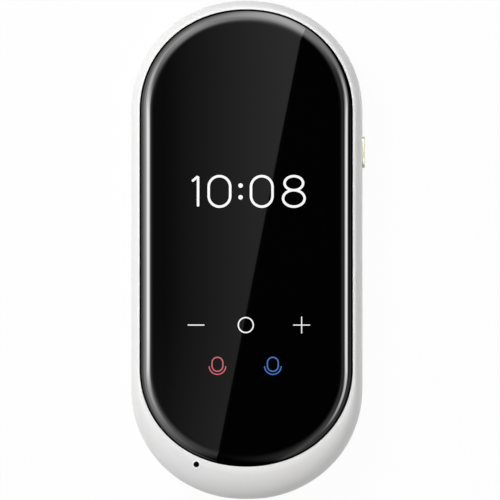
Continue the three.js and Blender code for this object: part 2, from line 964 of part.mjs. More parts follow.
function chassisPlate() {
  const low = chassisBottom - overrun;
  const high = chassisTop + overrun;
  return cut(
    plate(outlinePoints(inset(cavityOutline, chassisMargin)), chassisBottom, chassisTop),
    flexSlot(low, high),
    linkBlock(low, high, linkMargin),
    rod(micX, micY, bootRadius + bootGap, low, high),
    ...screwHoles(low, high),
  );
}

// Boards and what they carry

const boardMargin = 0.6;
const keyNotch = 1.4;
const keyNotchLength = 10.5;
const plugLength = 3;
const plugHeight = 1.3;
const plugFromTop = 26;
const topMicSet = 1;

const boardOutline = inset(cavityOutline, boardMargin);
const plugY = bodyTop - plugFromTop;

// The stretch of the inside between two places along Y.
function stretch(outline, low, high, bottomY, topY) {
  const area = plate(outlinePoints(outline), low, high);
  return area.intersect(box([-bodyHalf, bottomY, low - overrun], [bodyHalf, topY, high + overrun]));
}

function mainBoard() {
  const low = boardBottom - overrun;
  const high = boardTop + overrun;
  const halfNotch = keyNotchLength / 2;
  const notch = box([flangeInner - keyNotch, keyY - halfNotch, low], [bodyHalf, keyY + halfNotch, high]);
  return cut(
    stretch(boardOutline, boardBottom, boardTop, mainBoardBottom, mainBoardTop),
    notch,
    flexSlot(low, high),
    ...screwHoles(low, high),
  );
}

function subBoard() {
  const low = boardBottom - overrun;
  const high = boardTop + overrun;
  const socketNotch = box(
    [-socketWidth / 2 - socketMargin, bodyBottom, low],
    [socketWidth / 2 + socketMargin, socketBack + socketMargin, high],
  );
  return cut(
    stretch(boardOutline, boardBottom, boardTop, bodyBottom, subBoardTop),
    socketNotch,
    rod(micX, micY, portRadius, low, high, smallSides),
    ...screwHoles(low, high),
  );
}

// A drawn metal lid over part of the board, open towards the board.
function shieldCan(right, bottomY, topY, height) {
  const top = boardBottom - stackGap;
  const low = [shieldLeft, bottomY, top - height];
  const high = [right, topY, top];
  const inner = low.map((value) => value + shieldThickness);
  const outer = [high[0] - shieldThickness, high[1] - shieldThickness, top + overrun];
  return cut(box(low, high), box(inner, outer));
}

function processorShield() {
  return shieldCan(processorRight, processorBottomY, processorTopY, processorHeight);
}

function radioShield() {
  return shieldCan(processorRight - radioInset, radioBottomY, radioTopY, radioHeight);
}

function boardLink() {
  return linkBlock(boardTop + stackGap, chassisTop, 0);
}

function topMicrophone() {
  const top = boardBottom - stackGap;
  const face = mainBoardTop - topMicSet / 2;
  return box(
    [topMicX - micLength / 2, face - micHeight, top - micWidth],
    [topMicX + micLength / 2, face, top],
  );
}

// Battery pack, its tape, lead and plug

const batterySideRoom = 6;
const batteryCorner = 1.4;
const tapeInset = 3;
const wireRadius = 0.4;
const wirePitch = 1.3;
const wireBend = 1.2;
const wireSides = 8;
const wireSteps = 14;

const batteryHalf = cavityHalf - batterySideRoom;
const batteryTopY = mainBoardBottom - packGap;
const batteryBottomY = subBoardTop + packGap;

function roundedRectangle(halfWidth, bottomY, topY, radius) {
  const shape = new THREE.Shape();
  shape.moveTo(-halfWidth + radius, bottomY);
  shape.lineTo(halfWidth - radius, bottomY);
  shape.absarc(halfWidth - radius, bottomY + radius, radius, -Math.PI / 2, 0);
  shape.absarc(halfWidth - radius, topY - radius, radius, 0, Math.PI / 2);
  shape.absarc(-halfWidth + radius, topY - radius, radius, Math.PI / 2, Math.PI);
  shape.absarc(-halfWidth + radius, bottomY + radius, radius, Math.PI, 1.5 * Math.PI);
  return shape.getPoints(smallSides / 2);
}

function batteryPack() {
  const points = roundedRectangle(batteryHalf, batteryBottomY, batteryTopY, batteryCorner);
  return plate(points, batteryBottom, batteryTop);
}

function batteryTape() {
  return box(
    [-batteryHalf + tapeInset, batteryBottomY + tapeInset, batteryTop + stackGap],
    [batteryHalf - tapeInset, batteryTopY - tapeInset, chassisBottom - stackGap],
  );
}

function plugZ() {
  return boardBottom - stackGap - plugHeight / 2;
}

function batteryLead(side) {
  const x = plugX + (side * wirePitch) / 2;
  const start = new THREE.Vector3(x - wireBend, batteryTopY + stackGap, plugZ());
  const end = new THREE.Vector3(x, plugY - plugLength / 2 - stackGap, plugZ());
  const run = (end.y - start.y) / 3;
  const path = new THREE.CubicBezierCurve3(
    start,
    new THREE.Vector3(start.x, start.y + run, start.z),
    new THREE.Vector3(end.x, end.y - run, end.z),
    end,
  );
  const section = new THREE.Shape(circlePoints(wireRadius, wireSides));
  const settings = { extrudePath: path, steps: wireSteps, bevelEnabled: false };
  return solidFrom(new THREE.ExtrudeGeometry(section, settings));
}

function batteryPlug() {
  const half = plugHeight / 2;
  return box(
    [plugX - plugWidth / 2, plugY - plugLength / 2, plugZ() - half],
    [plugX + plugWidth / 2, plugY + plugLength / 2, plugZ() + half],
  );
}

// Flex that joins the two boards, beside the battery

const boardFlexWidth = 2.4;
const boardFlexThickness = 0.15;
const boardFlexOverlap = 2.6;
const boardFlexRoom = 0.5;

function boardFlex() {
  const right = -batteryHalf - boardFlexRoom;
  const top = boardBottom - stackGap;
  return box(
    [right - boardFlexWidth, subBoardTop - boardFlexOverlap, top - boardFlexThickness],
    [right, mainBoardBottom + boardFlexOverlap, top],
  );
}

// Speaker over the grille, with its dust mesh and gasket

const meshThickness = 0.12;
const meshLength = 17;
const meshWidth = 7.4;
const gasketThickness = 0.5;
const gasketRim = 1;
const speakerLength = 19;
const speakerWidth = 12.4;
const speakerCorner = 1.6;

const meshTop = rearWall + stackGap + meshThickness;
const gasketTop = meshTop + stackGap + gasketThickness;

function slab(length, width, low, high) {
  const points = roundedRectangle(length / 2, speakerY - width / 2, speakerY + width / 2, speakerCorner);
  return plate(points, low, high);
}

function speakerMesh() {
  return slab(meshLength, meshWidth, rearWall + stackGap, meshTop);
}

function speakerGasket() {
  const low = meshTop + stackGap;
  const openLength = meshLength - 2 * gasketRim;
  const openWidth = meshWidth - 2 * gasketRim;
  return cut(
    slab(meshLength, meshWidth, low, gasketTop),
    slab(openLength, openWidth, low - overrun, gasketTop + overrun),
  );
}

function speakerBox() {
  return slab(speakerLength, speakerWidth, gasketTop + stackGap, boardBottom - 2 * stackGap);
}

// Antenna at the top end, on its own carrier

const carrierMargin = 0.3;
const carrierBottomGap = 0.25;
const stripThickness = 0.12;
const stripMargin = 0.06;
const stripInset = 0.5;

function antennaCarrier() {
  const bottomY = bodyTop - sideWall - antennaLength;
  const outline = inset(cavityOutline, carrierMargin);
  const body = stretch(outline, lipTop + carrierBottomGap, boardTop, bottomY, bodyTop);
  return cut(body, topMicBore());
}

function topMicBore() {
  return prismAlongY(
    circlePoints(topMicRadius, smallSides),
    mainBoardTop - overrun,
    bodyTop,
    [topMicX, sideAxisZ],
  );
}

function antennaStrip() {
  const low = lipTop + carrierBottomGap + stripInset;
  const high = boardTop - stripInset;
  const bottomY = bodyTop - sideWall - antennaLength + stripInset;
  const outer = inset(cavityOutline, stripMargin);
  const inner = inset(cavityOutline, stripMargin + stripThickness);
  const band = plate(outlinePoints(outer), low, high, [outlinePoints(inner)]);
  const top = box([-bodyHalf, bottomY, low - overrun], [bodyHalf, bodyTop, high + overrun]);
  return cut(band.intersect(top), topMicBore());
}

// Assembly

add("housing_frame", housingFrame(), whiteShell);
add("rear_cover", rearCover(), whiteShell);
add("cover_glass", coverGlass(), blackGlass);
add("glass_tape", glassTape(), blackRubber);
add("touch_sensor", touchSensor(), clearFilm);
add("display_cell", displayCell(), panelGlass);
add("backlight_unit", backlightUnit(), whitePlastic);
add("display_flex", displayFlex(), amberFlex);
add("display_connector", displayConnector(), blackPlastic);
add("key_light_frame", lightFrame(), blackPlastic);
add("key_light_board", lightBoard(), greenBoard);
for (const symbol of symbols) {
  add(`lamp_${symbol.name}`, symbolLamp(symbol), whitePlastic);
  add(`lens_${symbol.name}`, symbolLens(symbol), symbol.lens);
}
add("chassis_plate", chassisPlate(), lightAlloy);
add("main_board", mainBoard(), greenBoard);
add("sub_board", subBoard(), greenBoard);
add("board_link", boardLink(), blackPlastic);
add("board_flex", boardFlex(), amberFlex);
add("processor_shield", processorShield(), plainSteel);
add("radio_shield", radioShield(), plainSteel);
add("card_reader", cardReader(), plainSteel);
add("key_switch", keySwitch(), blackPlastic);
add("top_microphone", topMicrophone(), plainSteel);
add("bottom_microphone", bottomMicrophone(), plainSteel);
add("microphone_boot", microphoneBoot(), blackRubber);
add("socket_shell", socketShell(), plainSteel);
add("socket_tongue", socketTongue(), blackPlastic);
add("battery_pack", batteryPack(), silverPouch);
add("battery_tape", batteryTape(), blackRubber);
add("battery_lead_red", batteryLead(1), redWire);
add("battery_lead_black", batteryLead(-1), blackWire);
add("battery_plug", batteryPlug(), whitePlastic);
add("speaker_mesh", speakerMesh(), plainSteel);
add("speaker_gasket", speakerGasket(), blackRubber);
add("speaker_box", speakerBox(), blackPlastic);
add("antenna_carrier", antennaCarrier(), blackPlastic);
add("antenna_strip", antennaStrip(), amberFlex);
screwSpots().forEach((spot, i) => add(`chassis_screw_${i + 1}`, chassisScrew(spot), plainSteel));

const powerKey = new THREE.Group();
device.add(powerKey);
add("power_key", sideKey(), champagne, powerKey);
add("switch_plunger", plungerBlock(switchFront - plungerBury, plungerTip, 0), whitePlastic, powerKey);

const trayGroup = new THREE.Group();
device.add(trayGroup);
add("card_tray", cardTray(), lightAlloy, trayGroup);
add("tray_seal", traySeal(), blackRubber, trayGroup);

export default device;
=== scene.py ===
import json
import math
import bpy
import numpy as np
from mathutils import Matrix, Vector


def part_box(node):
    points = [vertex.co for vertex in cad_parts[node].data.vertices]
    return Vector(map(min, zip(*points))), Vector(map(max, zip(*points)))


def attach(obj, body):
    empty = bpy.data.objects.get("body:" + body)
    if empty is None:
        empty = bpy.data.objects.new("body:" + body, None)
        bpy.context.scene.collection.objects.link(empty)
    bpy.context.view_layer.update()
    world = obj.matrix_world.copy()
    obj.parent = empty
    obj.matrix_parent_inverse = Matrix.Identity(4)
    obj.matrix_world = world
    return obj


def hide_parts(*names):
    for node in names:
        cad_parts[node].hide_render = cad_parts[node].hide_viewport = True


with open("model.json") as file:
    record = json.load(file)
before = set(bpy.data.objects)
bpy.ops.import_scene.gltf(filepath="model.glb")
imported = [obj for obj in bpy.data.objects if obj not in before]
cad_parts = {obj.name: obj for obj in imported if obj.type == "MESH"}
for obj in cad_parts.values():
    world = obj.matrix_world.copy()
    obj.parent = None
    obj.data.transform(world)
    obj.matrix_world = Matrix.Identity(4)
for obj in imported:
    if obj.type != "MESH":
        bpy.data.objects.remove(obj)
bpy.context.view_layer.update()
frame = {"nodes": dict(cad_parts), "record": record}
mm = 0.001
nodes = frame["nodes"]
print("frame loaded:", len(nodes), "nodes")


# Shader maths: a Signal is one socket, and sums, products and powers of signals add their Math nodes

class Signal:
    def __init__(self, finish, socket):
        self.finish = finish
        self.socket = socket

    def __add__(self, other):
        return self.finish.maths("ADD", self, other)

    def __sub__(self, other):
        return self.finish.maths("SUBTRACT", self, other)

    def __rsub__(self, other):
        return self.finish.maths("SUBTRACT", other, self)

    def __mul__(self, other):
        return self.finish.maths("MULTIPLY", self, other)

    def __truediv__(self, other):
        return self.finish.maths("DIVIDE", self, other)

    def __pow__(self, other):
        return self.finish.maths("POWER", self, other)

    def __gt__(self, edge):
        return self.finish.maths("GREATER_THAN", self, edge)

    def __lt__(self, edge):
        return self.finish.maths("LESS_THAN", self, edge)

    __radd__ = __add__
    __rmul__ = __mul__


class Finish:
    # the nodes of one material, or of the world

    def __init__(self, name, owner=None):
        self.material = owner or bpy.data.materials.new(name)
        self.material.use_nodes = True
        self.tree = self.material.node_tree
        self.tree.nodes.clear()

    def node(self, kind, settings=None, values=None, output=0):
        # settings are set first; values go to sockets by name or number, as numbers or links
        made = self.tree.nodes.new(kind)
        for key, value in (settings or {}).items():
            setattr(made, key, value)
        for key, value in (values or {}).items():
            if isinstance(value, Signal):
                self.tree.links.new(value.socket, made.inputs[key])
            else:
                made.inputs[key].default_value = value
        return Signal(self, made.outputs[output]) if made.outputs else made

    def maths(self, operation, first, second, clamp=False):
        settings = {"operation": operation, "use_clamp": clamp}
        return self.node("ShaderNodeMath", settings, {0: first, 1: second})

    def clipped(self, value):
        return self.maths("ADD", value, 0.0, clamp=True)

    def within(self, value, low, high, kind="LINEAR"):
        # 0 below low, 1 above high, straight or smooth between
        settings = {"clamp": True, "interpolation_type": kind}
        return self.node("ShaderNodeMapRange", settings, {0: value, 1: low, 2: high, 3: 0.0, 4: 1.0})

    def place(self, scale=(1, 1, 1), turn=(0, 0, 0)):
        # object coordinates in millimetres, stretched by scale and turned
        coordinates = self.node("ShaderNodeTexCoord", output="Object")
        sizes = tuple(value / mm for value in scale)
        return self.node("ShaderNodeMapping", None, {"Vector": coordinates, "Rotation": turn, "Scale": sizes})

    def axis(self, name):
        # one object coordinate in millimetres
        return self.node("ShaderNodeSeparateXYZ", None, {0: self.place()}, output=name)

    def edge(self):
        # the wear that a mesh carries, 1 along its worn edges; on the white shell's upper rim it also places
        # the painted highlight
        return self.node("ShaderNodeAttribute", {"attribute_name": "edge"}, output="Fac")

    def noise(self, scale, detail=3.0, rough=0.5, where=None):
        values = {"Vector": where or self.place(), "Scale": scale, "Detail": detail, "Roughness": rough}
        return self.node("ShaderNodeTexNoise", {"noise_dimensions": "3D"}, values)

    def patches(self, texture, edges):
        # noise cut to patches between two values
        return self.within(self.noise(*texture), *edges)

    def swing(self, texture, amount):
        # a texture taken about its middle value
        return (texture - 0.5) * amount

    def cells(self, scale, feature="F1"):
        values = {"Vector": self.place(), "Scale": scale}
        return self.node("ShaderNodeTexVoronoi", {"feature": feature}, values)

    def stripes(self, scale):
        values = {"Vector": self.place(), "Scale": scale}
        return self.node("ShaderNodeTexWave", {"bands_direction": "X"}, values)

    def checks(self, scale):
        values = {"Vector": self.place(), "Scale": scale}
        return self.node("ShaderNodeTexChecker", None, values, output="Fac")

    def scratches(self, density, turn):
        # long thin streaks: noise stretched along one direction and cut high
        look = scratchLook
        where = self.place((look["stretch"], density, look["stretch"]), (0, 0, turn))
        return self.within(self.noise(*look["texture"], where=where), *look["edges"])

    def mix(self, factor, first, second):
        return self.node("ShaderNodeMix", {"data_type": "RGBA"}, {0: factor, 6: first, 7: second}, output=2)

    def bump(self, height, depth):
        return self.node("ShaderNodeBump", None, {"Height": height, "Distance": depth * mm, "Strength": 1.0})

    def surface(self, colour, roughness, metallic=0.0, normal=None, **fixed):
        values = {"Base Color": colour, "Roughness": roughness, "Metallic": metallic}
        if normal is not None:
            values["Normal"] = normal
        for key, value in fixed.items():
            values[key.replace("_", " ")] = value
        shader = self.node("ShaderNodeBsdfPrincipled", None, values)
        self.node("ShaderNodeOutputMaterial", None, {"Surface": shader})
        return self.material


def rgb(red, green, blue):
    return (red, green, blue, 1.0)


def boxOf(node):
    # lowest and highest corner of a solid in millimetres
    return [np.array(corner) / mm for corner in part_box(node)]


# Finishes, one function for each material slot. A texture is a noise's scale in turns per millimetre, its
# detail and its roughness; edges are the two values that a patch begins and is full at; a gloss is what is
# added to the roughness, or taken from it; depths are in millimetres

scratchLook = {"stretch": 0.09, "texture": (1.0, 2.0, 0.6), "edges": (0.66, 0.74)}
shellLook = {
    "colour": rgb(0.86, 0.86, 0.862),
    "warmer": rgb(0.87, 0.866, 0.855),
    "worn": rgb(0.8, 0.797, 0.785),
    "rim": rgb(0.985, 0.985, 0.985),
    "roughness": 0.4,
    "flow": (0.05, 2.0),
    "flowEdges": (0.35, 0.65),
    "flowGloss": 0.06,
    "wear": (1.9, 5.0, 0.65),
    "wearEdges": (0.52, 0.68),
    "wearShare": 0.35,
    "wearGloss": 0.12,
    "hairlines": ((7.0, 0.5), (9.0, -0.9)),
    "hairlineGloss": 0.03,
    "hairlineDepth": 0.15,
    "peel": (1.3, 2.0, 0.4),
    "peelDepth": 0.0012,
    "bend": 1.4,
    "coat": 0.05,
    "coatRoughness": 0.15,
}
# the chin's hole: its colour and first radius paint shade inside it, the larger radius paints a highlight
# round it on the shell, and the shift moves its axis
portLook = {
    "colour": rgb(0.002, 0.002, 0.002),
    "radius": 0.74,
    "paintedHighlightRadius": 1.0,
    "shift": (-0.09, 0.1),
    "topGap": 0.5,
}


def portCentre():
    # the axis of the chin's hole, over the microphone's boot
    low, high = boxOf("microphone_boot")
    return (low[:2] + high[:2]) / 2 + portLook["shift"]


def fromPort(finish):
    # distance from the axis of the chin's hole
    centreX, centreY = portCentre()
    x, y = finish.axis("X") - centreX, finish.axis("Y") - centreY
    return (x * x + y * y) ** 0.5


def paintedPortShade(finish, colour):
    # painted shade: black painted inside the chin's hole, where the recess is in shade, within a radius of
    # its axis, below the face and above the rear cover
    height = finish.axis("Z")
    below = height < (boxOf("housing_frame")[1][2] - portLook["topGap"])
    above = height > (boxOf("bottom_microphone")[0][2] - portLook["topGap"])
    inside = (fromPort(finish) < portLook["radius"]) * below * above
    return finish.mix(inside, colour, portLook["colour"])


def whiteShell():
    # glossy moulded plastic: slow colour drift, fine orange peel, hairlines, wear near the seams, a painted
    # highlight along the rim by the glass and round the chin's hole, and painted shade inside that hole
    look = shellLook
    finish = Finish("whiteShell")
    drift = finish.noise(*look["flow"])
    edge = finish.edge()
    wear = edge * finish.patches(look["wear"], look["wearEdges"])
    colour = finish.mix(finish.within(drift, *look["flowEdges"]), look["colour"], look["warmer"])
    colour = finish.mix(finish.clipped(wear * look["wearShare"]), colour, look["worn"])
    # painted highlight: the upper rim by the glass and a ring round the chin's hole are painted a paler white
    upper = finish.axis("Z") > boxOf("cover_glass")[0][2]
    rim = finish.clipped(edge + (fromPort(finish) < portLook["paintedHighlightRadius"])) * upper
    colour = paintedPortShade(finish, finish.mix(rim, colour, look["rim"]))
    first, second = [finish.scratches(*line) for line in look["hairlines"]]
    hairlines = first + second
    roughness = look["roughness"] + finish.swing(drift, look["flowGloss"]) + hairlines * look["hairlineGloss"]
    roughness = roughness + wear * look["wearGloss"]
    peel = finish.noise(*look["peel"]) - hairlines * look["hairlineDepth"]
    normal = finish.bump(peel, look["peelDepth"])
    return finish.surface(colour, roughness, normal=normal, IOR=look["bend"], Coat_Weight=look["coat"],
                          Coat_Roughness=look["coatRoughness"])


glassLook = {
    "colour": rgb(0.0003, 0.0003, 0.0004),
    "display": rgb(0.0008, 0.0008, 0.001),
    "displayMargin": 1.5,
    "displayTop": 1.9,
    "roughness": 0.015,
    "smudge": (0.12, 4.0, 0.6),
    "smudgeEdges": (0.55, 0.8),
    "smudgeGloss": 0.008,
    "ridges": {"Scale": 0.9, "Distortion": 6.0, "Detail": 2.0},
    "ridgeGloss": 0.008,
    "streaks": (5.0, 0.35),
    "streakGloss": 0.006,
    "bend": 1.5,
    "ground": rgb(0.001, 0.001, 0.001),
    "groundRoughness": 0.7,
    "groundGloss": 0.1,
    "coated": 0.8,
    "coatDepths": (0.065, 0.016),
}


def blackGlass():
    # black printed glass: a touch lighter over the display, faint smudges in the gloss, a matt ground edge,
    # and less gloss on the flat face, whose coat takes most of the reflection away
    look = glassLook
    low, high = boxOf("display_cell")
    finish = Finish("blackGlass")
    x, y = finish.axis("X"), finish.axis("Y")
    margin = look["displayMargin"]
    inside = (x > (low[0] + margin)) * (x < (high[0] - margin))
    inside = inside * (y > (low[1] + margin)) * (y < (high[1] - look["displayTop"]))
    smudge = finish.patches(look["smudge"], look["smudgeEdges"])
    values = {"Vector": finish.place(), **look["ridges"]}
    ridges = finish.node("ShaderNodeTexWave", {"wave_type": "RINGS"}, values)
    roughness = look["roughness"] + smudge * (look["smudgeGloss"] + ridges * look["ridgeGloss"])
    roughness = roughness + finish.scratches(*look["streaks"]) * look["streakGloss"]
    colour = finish.mix(inside, look["colour"], look["display"])
    polished = {"Base Color": colour, "Roughness": roughness, "IOR": look["bend"]}
    dull = look["groundRoughness"] + smudge * look["groundGloss"]
    matt = {"Base Color": look["ground"], "Roughness": dull, "Specular IOR Level": 0.0}
    top = boxOf("cover_glass")[1][2]
    coat = finish.within(finish.axis("Z"), *[top - depth for depth in look["coatDepths"]]) * look["coated"]
    face = finish.node("ShaderNodeBsdfPrincipled", None, polished)
    border = finish.node("ShaderNodeBsdfPrincipled", None, matt)
    share = finish.clipped(finish.edge() + coat)
    both = finish.node("ShaderNodeMixShader", None, {0: share, 1: face, 2: border})
    finish.node("ShaderNodeOutputMaterial", None, {"Surface": both})
    return finish.material


goldLook = {
    "colour": rgb(0.54, 0.525, 0.43),
    "deeper": rgb(0.42, 0.41, 0.32),
    "roughness": 0.36,
    "brush": (1.0, 3.0, 0.6),
    "brushPitch": (14.0, 0.4, 14.0),
    "brushShare": 0.6,
    "brushGloss": 0.12,
    "brushDepth": 0.002,
    "cloud": (0.6, 3.0),
    "cloudShare": 0.3,
    "rub": (2.6, 4.0, 0.6),
    "rubEdges": (0.5, 0.7),
    "rubGloss": 0.06,
}


def champagneMetal():
    # turned and polished alloy: fine brushing along the key, deeper colour in the brush marks
    look = goldLook
    finish = Finish("champagneMetal")
    brush = finish.noise(*look["brush"], where=finish.place(look["brushPitch"]))
    marks = finish.clipped(brush * look["brushShare"] + finish.noise(*look["cloud"]) * look["cloudShare"])
    rub = finish.patches(look["rub"], look["rubEdges"])
    colour = finish.mix(marks, look["colour"], look["deeper"])
    roughness = look["roughness"] + finish.swing(brush, look["brushGloss"]) + rub * look["rubGloss"]
    return finish.surface(colour, roughness, 1.0, finish.bump(brush, look["brushDepth"]))


plasticLook = {
    "grain": (3.2, 4.0, 0.6),
    "grainGloss": 0.14,
    "grainDepth": 0.006,
    "pits": 5.44,
    "pitShare": 0.3,
    "drift": (0.15, 2.0),
    "driftShare": 0.7,
    "rub": (0.7, 5.0, 0.65),
    "rubEdges": (0.58, 0.72),
    "rubShare": 0.3,
    "rubGloss": 0.08,
    "black": {"colour": rgb(0.016, 0.016, 0.018), "other": rgb(0.034, 0.034, 0.036), "roughness": 0.52},
    "white": {"colour": rgb(0.78, 0.79, 0.8), "other": rgb(0.7, 0.7, 0.69), "roughness": 0.45},
}


def mouldedPlastic(name, shade):
    # spark-eroded moulding texture, slow shade drift and rubbed high spots
    look = plasticLook
    finish = Finish(name)
    grain = finish.noise(*look["grain"])
    rub = finish.patches(look["rub"], look["rubEdges"])
    share = finish.clipped(finish.noise(*look["drift"]) * look["driftShare"] + rub * look["rubShare"])
    colour = finish.mix(share, shade["colour"], shade["other"])
    roughness = shade["roughness"] + finish.swing(grain, look["grainGloss"]) - rub * look["rubGloss"]
    normal = finish.bump(grain + finish.cells(look["pits"]) * look["pitShare"], look["grainDepth"])
    return finish.surface(colour, roughness, normal=normal)


def blackPlastic():
    return mouldedPlastic("blackPlastic", plasticLook["black"])


def whitePlastic():
    return mouldedPlastic("whitePlastic", plasticLook["white"])


rubberLook = {
    "colour": rgb(0.012, 0.012, 0.013),
    "bloomed": rgb(0.045, 0.044, 0.042),
    "bloom": (0.8, 4.0, 0.6),
    "bloomEdges": (0.45, 0.75),
    "bloomShare": 0.5,
    "roughness": 0.8,
    "grain": (5.5, 4.0, 0.65),
    "grainGloss": 0.2,
    "grainDepth": 0.01,
    "shine": 0.1,
}


def blackRubber():
    # soft rubber: dusty bloom in patches over a fine matt grain, and painted shade where it lies inside the
    # chin's hole
    look = rubberLook
    finish = Finish("blackRubber")
    grain = finish.noise(*look["grain"])
    bloom = finish.patches(look["bloom"], look["bloomEdges"])
    colour = paintedPortShade(finish, finish.mix(bloom * look["bloomShare"], look["colour"], look["bloomed"]))
    roughness = look["roughness"] + finish.swing(grain, look["grainGloss"])
    normal = finish.bump(grain, look["grainDepth"])
    return finish.surface(colour, roughness, normal=normal, Specular_IOR_Level=look["shine"])


filmLook = {
    "colour": rgb(0.03, 0.035, 0.042),
    "electrode": rgb(0.1, 0.085, 0.07),
    "grid": {"Scale": 0.5, "Mortar Size": 0.01, "Brick Width": 1.0, "Row Height": 1.0},
    "gridShare": 0.6,
    "gridGloss": 0.1,
    "gridDepth": 0.001,
    "cloud": (0.3, 3.0),
    "cloudShare": 0.3,
    "cloudGloss": 0.05,
    "roughness": 0.14,
    "bend": 1.52,
}


def touchFilm():
    # coated film: a fine electrode grid that only shows in its gloss
    look = filmLook
    finish = Finish("touchFilm")
    values = {"Vector": finish.place(), **look["grid"]}
    grid = finish.node("ShaderNodeTexBrick", {"offset": 0.0}, values, output="Fac")
    cloud = finish.noise(*look["cloud"])
    share = finish.clipped(grid * look["gridShare"] + cloud * look["cloudShare"])
    colour = finish.mix(share, look["colour"], look["electrode"])
    roughness = look["roughness"] + grid * look["gridGloss"] + cloud * look["cloudGloss"]
    return finish.surface(colour, roughness, normal=finish.bump(grid, look["gridDepth"]), IOR=look["bend"])


panelLook = {
    "colour": rgb(0.012, 0.014, 0.018),
    "stripe": rgb(0.03, 0.028, 0.034),
    "stripes": 2.2,
    "stripeShare": 0.5,
    "roughness": 0.08,
    "cloud": (0.2, 3.0),
    "cloudGloss": 0.06,
    "bend": 1.52,
}


def panelGlass():
    # display cell: dark glass with a faint colour-filter stripe
    look = panelLook
    finish = Finish("panelGlass")
    colour = finish.mix(finish.stripes(look["stripes"]) * look["stripeShare"], look["colour"], look["stripe"])
    roughness = look["roughness"] + finish.noise(*look["cloud"]) * look["cloudGloss"]
    return finish.surface(colour, roughness, IOR=look["bend"])


flexLook = {
    "film": rgb(0.33, 0.12, 0.02),
    "copper": rgb(0.6, 0.28, 0.06),
    "tracks": 0.95,
    "trackEdges": (0.4, 0.6),
    "trackDepth": 0.01,
    "roughness": 0.32,
    "cloud": (0.5, 4.0),
    "cloudGloss": 0.12,
    "coat": 0.3,
}


def amberFlex():
    # polyimide over copper: parallel tracks under an amber film
    look = flexLook
    finish = Finish("amberFlex")
    tracks = finish.within(finish.stripes(look["tracks"]), *look["trackEdges"])
    colour = finish.mix(tracks, look["film"], look["copper"])
    roughness = look["roughness"] + finish.noise(*look["cloud"]) * look["cloudGloss"]
    normal = finish.bump(tracks, look["trackDepth"])
    return finish.surface(colour, roughness, normal=normal, Coat_Weight=look["coat"])


boardLook = {
    "mask": rgb(0.008, 0.09, 0.035),
    "paler": rgb(0.02, 0.16, 0.06),
    "route": rgb(0.035, 0.23, 0.08),
    "pad": rgb(0.72, 0.55, 0.22),
    "routes": 0.55,
    "routeEdges": (0.03, 0.06),
    "routeDepth": 0.3,
    "pads": 0.8,
    "padEdges": (0.12, 0.15),
    "padDepth": 0.5,
    "padGloss": 0.12,
    "padMetal": 0.9,
    "weave": 3.0,
    "weaveShare": 0.1,
    "weaveDepth": 0.05,
    "cloud": (0.2, 3.0),
    "cloudGloss": 0.1,
    "roughness": 0.38,
    "depth": 0.03,
}


def greenBoard():
    # solder mask over copper: routed tracks, pads and a woven glass ground, and painted shade where it lies
    # inside the chin's hole
    look = boardLook
    finish = Finish("greenBoard")
    beside = finish.within(finish.cells(look["routes"], "DISTANCE_TO_EDGE"), *look["routeEdges"])
    pads = 1.0 - finish.within(finish.cells(look["pads"]), *look["padEdges"])
    weave = finish.checks(look["weave"])
    cloud = finish.noise(*look["cloud"])
    green = finish.mix(finish.clipped(cloud + weave * look["weaveShare"]), look["mask"], look["paler"])
    green = finish.mix(1.0 - beside, green, look["route"])
    colour = paintedPortShade(finish, finish.mix(pads, green, look["pad"]))
    height = pads * look["padDepth"] - beside * look["routeDepth"] + weave * look["weaveDepth"]
    roughness = look["roughness"] - pads * look["padGloss"] + cloud * look["cloudGloss"]
    return finish.surface(colour, roughness, pads * look["padMetal"], finish.bump(height, look["depth"]))


steelLook = {
    "colour": rgb(0.64, 0.65, 0.66),
    "blotched": rgb(0.52, 0.52, 0.51),
    "blotch": (0.35, 4.0, 0.6),
    "blotchEdges": (0.4, 0.7),
    "blotchShare": 0.6,
    "blotchGloss": 0.1,
    "rolling": (1.0, 4.0, 0.6),
    "rollPitch": (0.35, 11.0, 3.0),
    "rollGloss": 0.2,
    "scratches": (6.0, 0.8),
    "scratchGloss": 0.08,
    "scratchDepth": 0.4,
    "roughness": 0.26,
    "depth": 0.004,
}
meshLook = {
    "colour": rgb(0.012, 0.012, 0.013),
    "wire": rgb(0.05, 0.05, 0.052),
    "weave": 4.0,
    "weaveDepth": 4.0,
    "gloss": 0.3,
    "margin": 0.05,
}


def insideMesh(finish):
    # 1 within the speaker mesh's own box, 0 outside it
    inside = 1.0
    for name, least, most in zip("XYZ", *boxOf("speaker_mesh")):
        value = finish.axis(name)
        above = value > (least - meshLook["margin"])
        inside = above * (value < (most + meshLook["margin"])) * inside
    return inside


def plainSteel():
    # cold-rolled sheet with rolling lines, blotches and rubbed spots; the speaker mesh is a blackened weave;
    # painted shade where it lies inside the chin's hole
    look, mesh = steelLook, meshLook
    finish = Finish("plainSteel")
    rolled = finish.noise(*look["rolling"], where=finish.place(look["rollPitch"]))
    blotch = finish.patches(look["blotch"], look["blotchEdges"])
    rubbed = finish.scratches(*look["scratches"])
    sheet = paintedPortShade(finish, finish.mix(blotch * look["blotchShare"], look["colour"], look["blotched"]))
    wires = finish.checks(mesh["weave"])
    woven = insideMesh(finish)
    colour = finish.mix(woven, sheet, finish.mix(wires, mesh["colour"], mesh["wire"]))
    roughness = look["roughness"] + finish.swing(rolled, look["rollGloss"]) + blotch * look["blotchGloss"]
    roughness = roughness - rubbed * look["scratchGloss"] + woven * mesh["gloss"]
    height = rolled - rubbed * look["scratchDepth"] + woven * wires * mesh["weaveDepth"]
    return finish.surface(colour, roughness, 1.0, finish.bump(height, look["depth"]))


alloyLook = {
    "colour": rgb(0.6, 0.6, 0.61),
    "paler": rgb(0.76, 0.76, 0.76),
    "blast": (6.0, 3.0, 0.6),
    "blastGloss": 0.18,
    "blastDepth": 0.006,
    "flow": (0.12, 3.0),
    "flowShare": 0.5,
    "rub": (0.9, 5.0, 0.7),
    "rubEdges": (0.6, 0.75),
    "rubShare": 0.5,
    "rubGloss": 0.1,
    "roughness": 0.4,
    "metal": 0.9,
}


